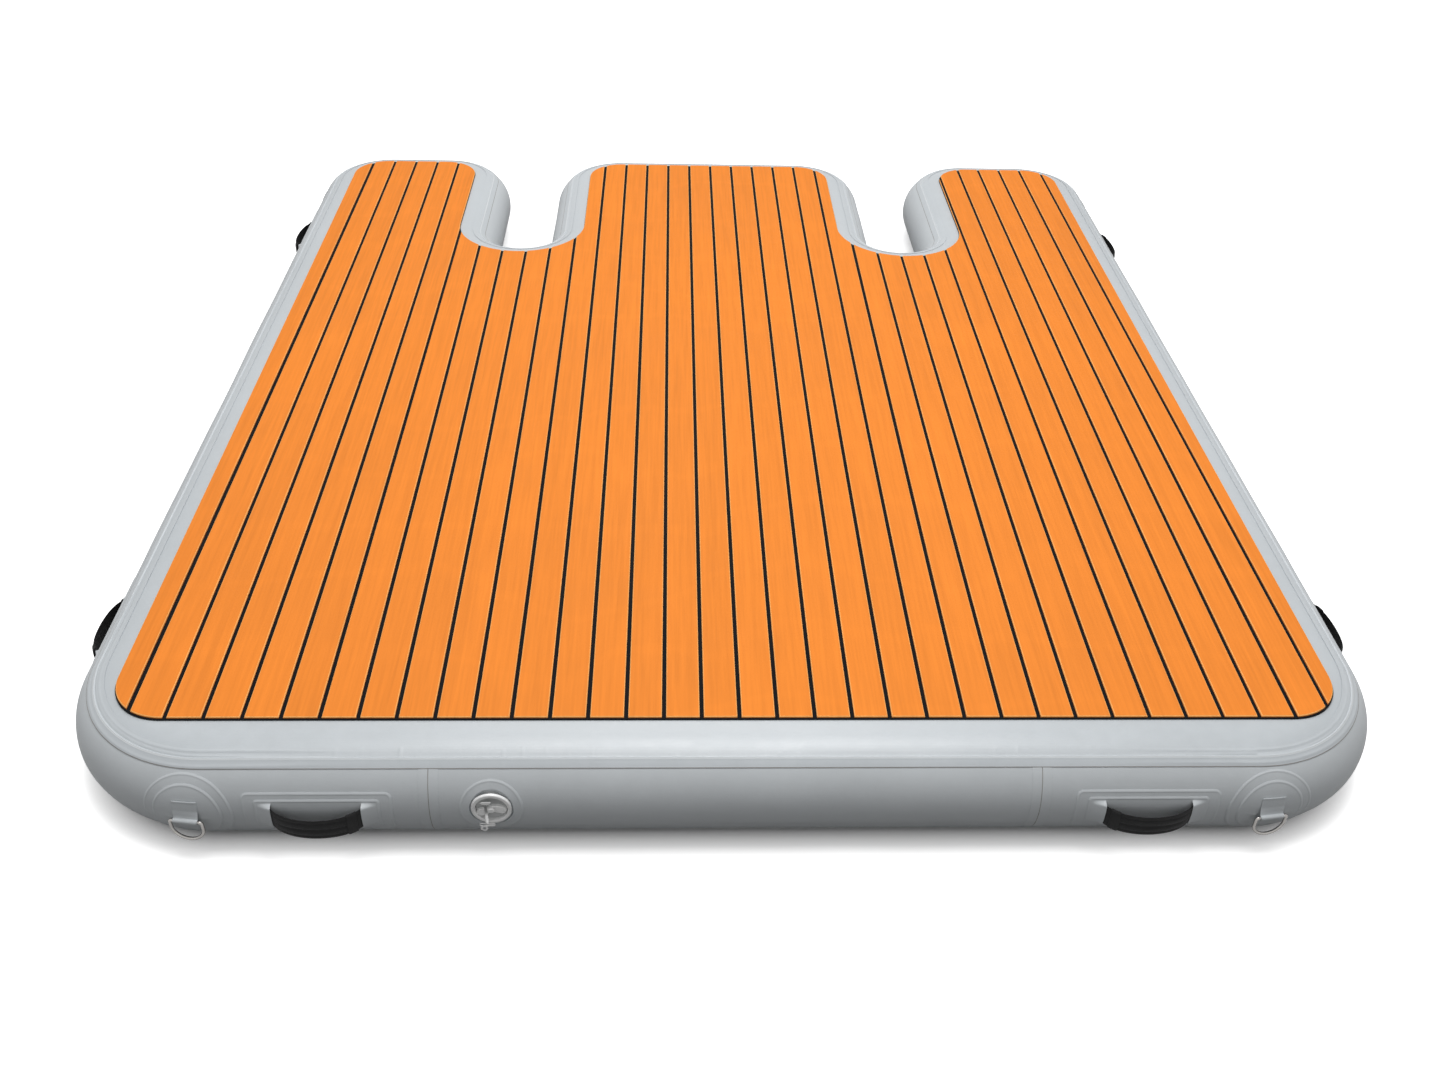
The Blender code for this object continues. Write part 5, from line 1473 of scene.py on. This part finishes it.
def build_valve():
    """The valve's visible pieces, with the inner ones kept from the frame under better materials."""
    build_surround()
    build_valve_body()
    build_cap()
    build_strip()
    build_spring()
    for node, material in (("valve_gasket", RUBBER), ("valve_nut", WHITE), ("valve_poppet", RUBBER)):
        only_material(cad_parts[node].data, material)


# Stage, light and camera

FLOOR_SIZE = 40.0
FLOOR_DROP = 0.0006
SEEN_FLOOR = 0.9
LIT_FLOOR = 0.06
FLOOR_GLOW = 0.7
FLOOR_GLOW_START = -0.05
FLOOR_GLOW_REACH = 0.02
FAR_GLOW = 0.5
FAR_GLOW_RANGE = (-0.9, 0.6)
WORLD_LIGHT = 0.4
KEY_LIGHT = (0.57, (0.1, -0.8, 5.2), (0.1, -0.75, 0.1), 2.4)
BACK_LIGHT = (0.28, (0.0, 2.9, 4.6), (0.0, 1.0, 0.1), 2.4)


def seen_share(nodes):
    """1 for what the camera sees, directly or in a mirror or glass, and 0 for light on its way."""
    camera, mirror, glass = (nodes.add("LightPath", {}, f"Is {kind} Ray")
                             for kind in ("Camera", "Glossy", "Transmission"))
    return nodes.calculate("MAXIMUM", nodes.calculate("MAXIMUM", camera, mirror), glass)


def build_floor():
    """A plain pale floor that keeps the object's shadow and turns white away from it."""
    nodes = Nodes(bpy.data.materials.new("pale_floor"))
    nodes.tree.nodes.remove(nodes.tree.nodes["Principled BSDF"])
    past = []
    for axis, size in (("X", HULL_WIDTH), ("Y", HULL_LENGTH)):
        spot = nodes.calculate("ABSOLUTE", nodes.add("SeparateXYZ", {"Vector": nodes.place}, axis))
        beyond = nodes.calculate("SUBTRACT", spot, size / 2 - NEAR_CORNER_RADIUS)
        past.append(nodes.calculate("POWER", nodes.calculate("MAXIMUM", beyond, 0.0), 2.0))
    reach = nodes.calculate("SQRT", nodes.calculate("ADD", *past))
    distance = nodes.calculate("SUBTRACT", reach, NEAR_CORNER_RADIUS)
    glow = nodes.remap(distance, 0.0, FLOOR_GLOW, FLOOR_GLOW_START, FLOOR_GLOW_REACH)
    along = nodes.add("SeparateXYZ", {"Vector": nodes.place}, "Y")
    far = nodes.remap(along, 0.0, FAR_GLOW, *FAR_GLOW_RANGE)
    plain = nodes.calculate("SUBTRACT", 1.0, nodes.add("LightPath", {}, "Is Glossy Ray"))
    strength = nodes.calculate("MULTIPLY", nodes.calculate("MAXIMUM", glow, far), plain)
    shown = nodes.add("BsdfDiffuse", {"Color": (SEEN_FLOOR, SEEN_FLOOR, SEEN_FLOOR, 1)})
    both = nodes.add("AddShader", {0: shown, 1: nodes.add("Emission", {"Strength": strength})})
    dim = nodes.add("BsdfDiffuse", {"Color": (LIT_FLOOR, LIT_FLOOR, LIT_FLOOR, 1)})
    mixed = nodes.add("MixShader", {0: seen_share(nodes), 1: dim, 2: both})
    nodes.feed(nodes.tree.nodes["Material Output"], {"Surface": mixed})
    half = FLOOR_SIZE / 2
    corners = [(x, y, -FLOOR_DROP) for x, y in ((-half, -half), (half, -half), (half, half), (-half, half))]
    make_object("floor", corners, [(0, 1, 2, 3)], nodes.owner)


def build_world():
    """Even white surroundings, at a plain level where they light the object."""
    world = bpy.data.worlds.new("surroundings")
    bpy.context.scene.world = world
    nodes = Nodes(world)
    strength = nodes.remap(seen_share(nodes), WORLD_LIGHT, 1.0, 0.0, 1.0)
    nodes.feed(nodes.tree.nodes["Background"], {"Color": (1, 1, 1, 1), "Strength": strength})


def build_lamp(name, share, place, aim, size):
    """A square soft light that gives a share of full daylight to a surface that faces it."""
    away = Vector(aim) - Vector(place)
    lamp = bpy.data.lights.new(name, "AREA")
    lamp.shape = "SQUARE"
    lamp.size = size
    lamp.energy = share * math.pi * math.pi * away.length ** 2
    turn = away.to_track_quat("-Z", "Y").to_matrix().to_4x4()
    new_object(name, lamp).matrix_world = Matrix.Translation(place) @ turn


def build_camera():
    """The camera at the photograph's place and angle."""
    forward = Vector((
        math.sin(CAMERA_YAW) * math.cos(CAMERA_PITCH),
        math.cos(CAMERA_YAW) * math.cos(CAMERA_PITCH),
        -math.sin(CAMERA_PITCH),
    ))
    level = Vector((math.cos(CAMERA_YAW), -math.sin(CAMERA_YAW), 0))
    upright = level.cross(forward)
    right = math.cos(CAMERA_ROLL) * level + math.sin(CAMERA_ROLL) * upright
    up = math.cos(CAMERA_ROLL) * upright - math.sin(CAMERA_ROLL) * level
    data = bpy.data.cameras.new("camera")
    data.sensor_width = SENSOR_WIDTH
    data.lens = SENSOR_WIDTH * PHOTO_FOCAL / PHOTO_WIDTH
    data.shift_x = (PHOTO_WIDTH / 2 - PHOTO_CENTRE_X) / PHOTO_WIDTH
    camera = new_object("camera", data)
    turn = Matrix((right, up, -forward)).transposed().to_4x4()
    camera.matrix_world = Matrix.Translation(CAMERA_PLACE) @ turn
    bpy.context.scene.camera = camera


def build():
    """Everything, in order."""
    build_hull_skin()
    build_walls()
    build_joint_covers()
    build_tapes()
    build_deck()
    build_handles()
    build_rings()
    build_valve()
    build_floor()
    build_world()
    build_lamp("key_light", *KEY_LIGHT)
    build_lamp("back_light", *BACK_LIGHT)
    build_camera()
    bpy.context.scene.view_settings.view_transform = "Standard"


build()
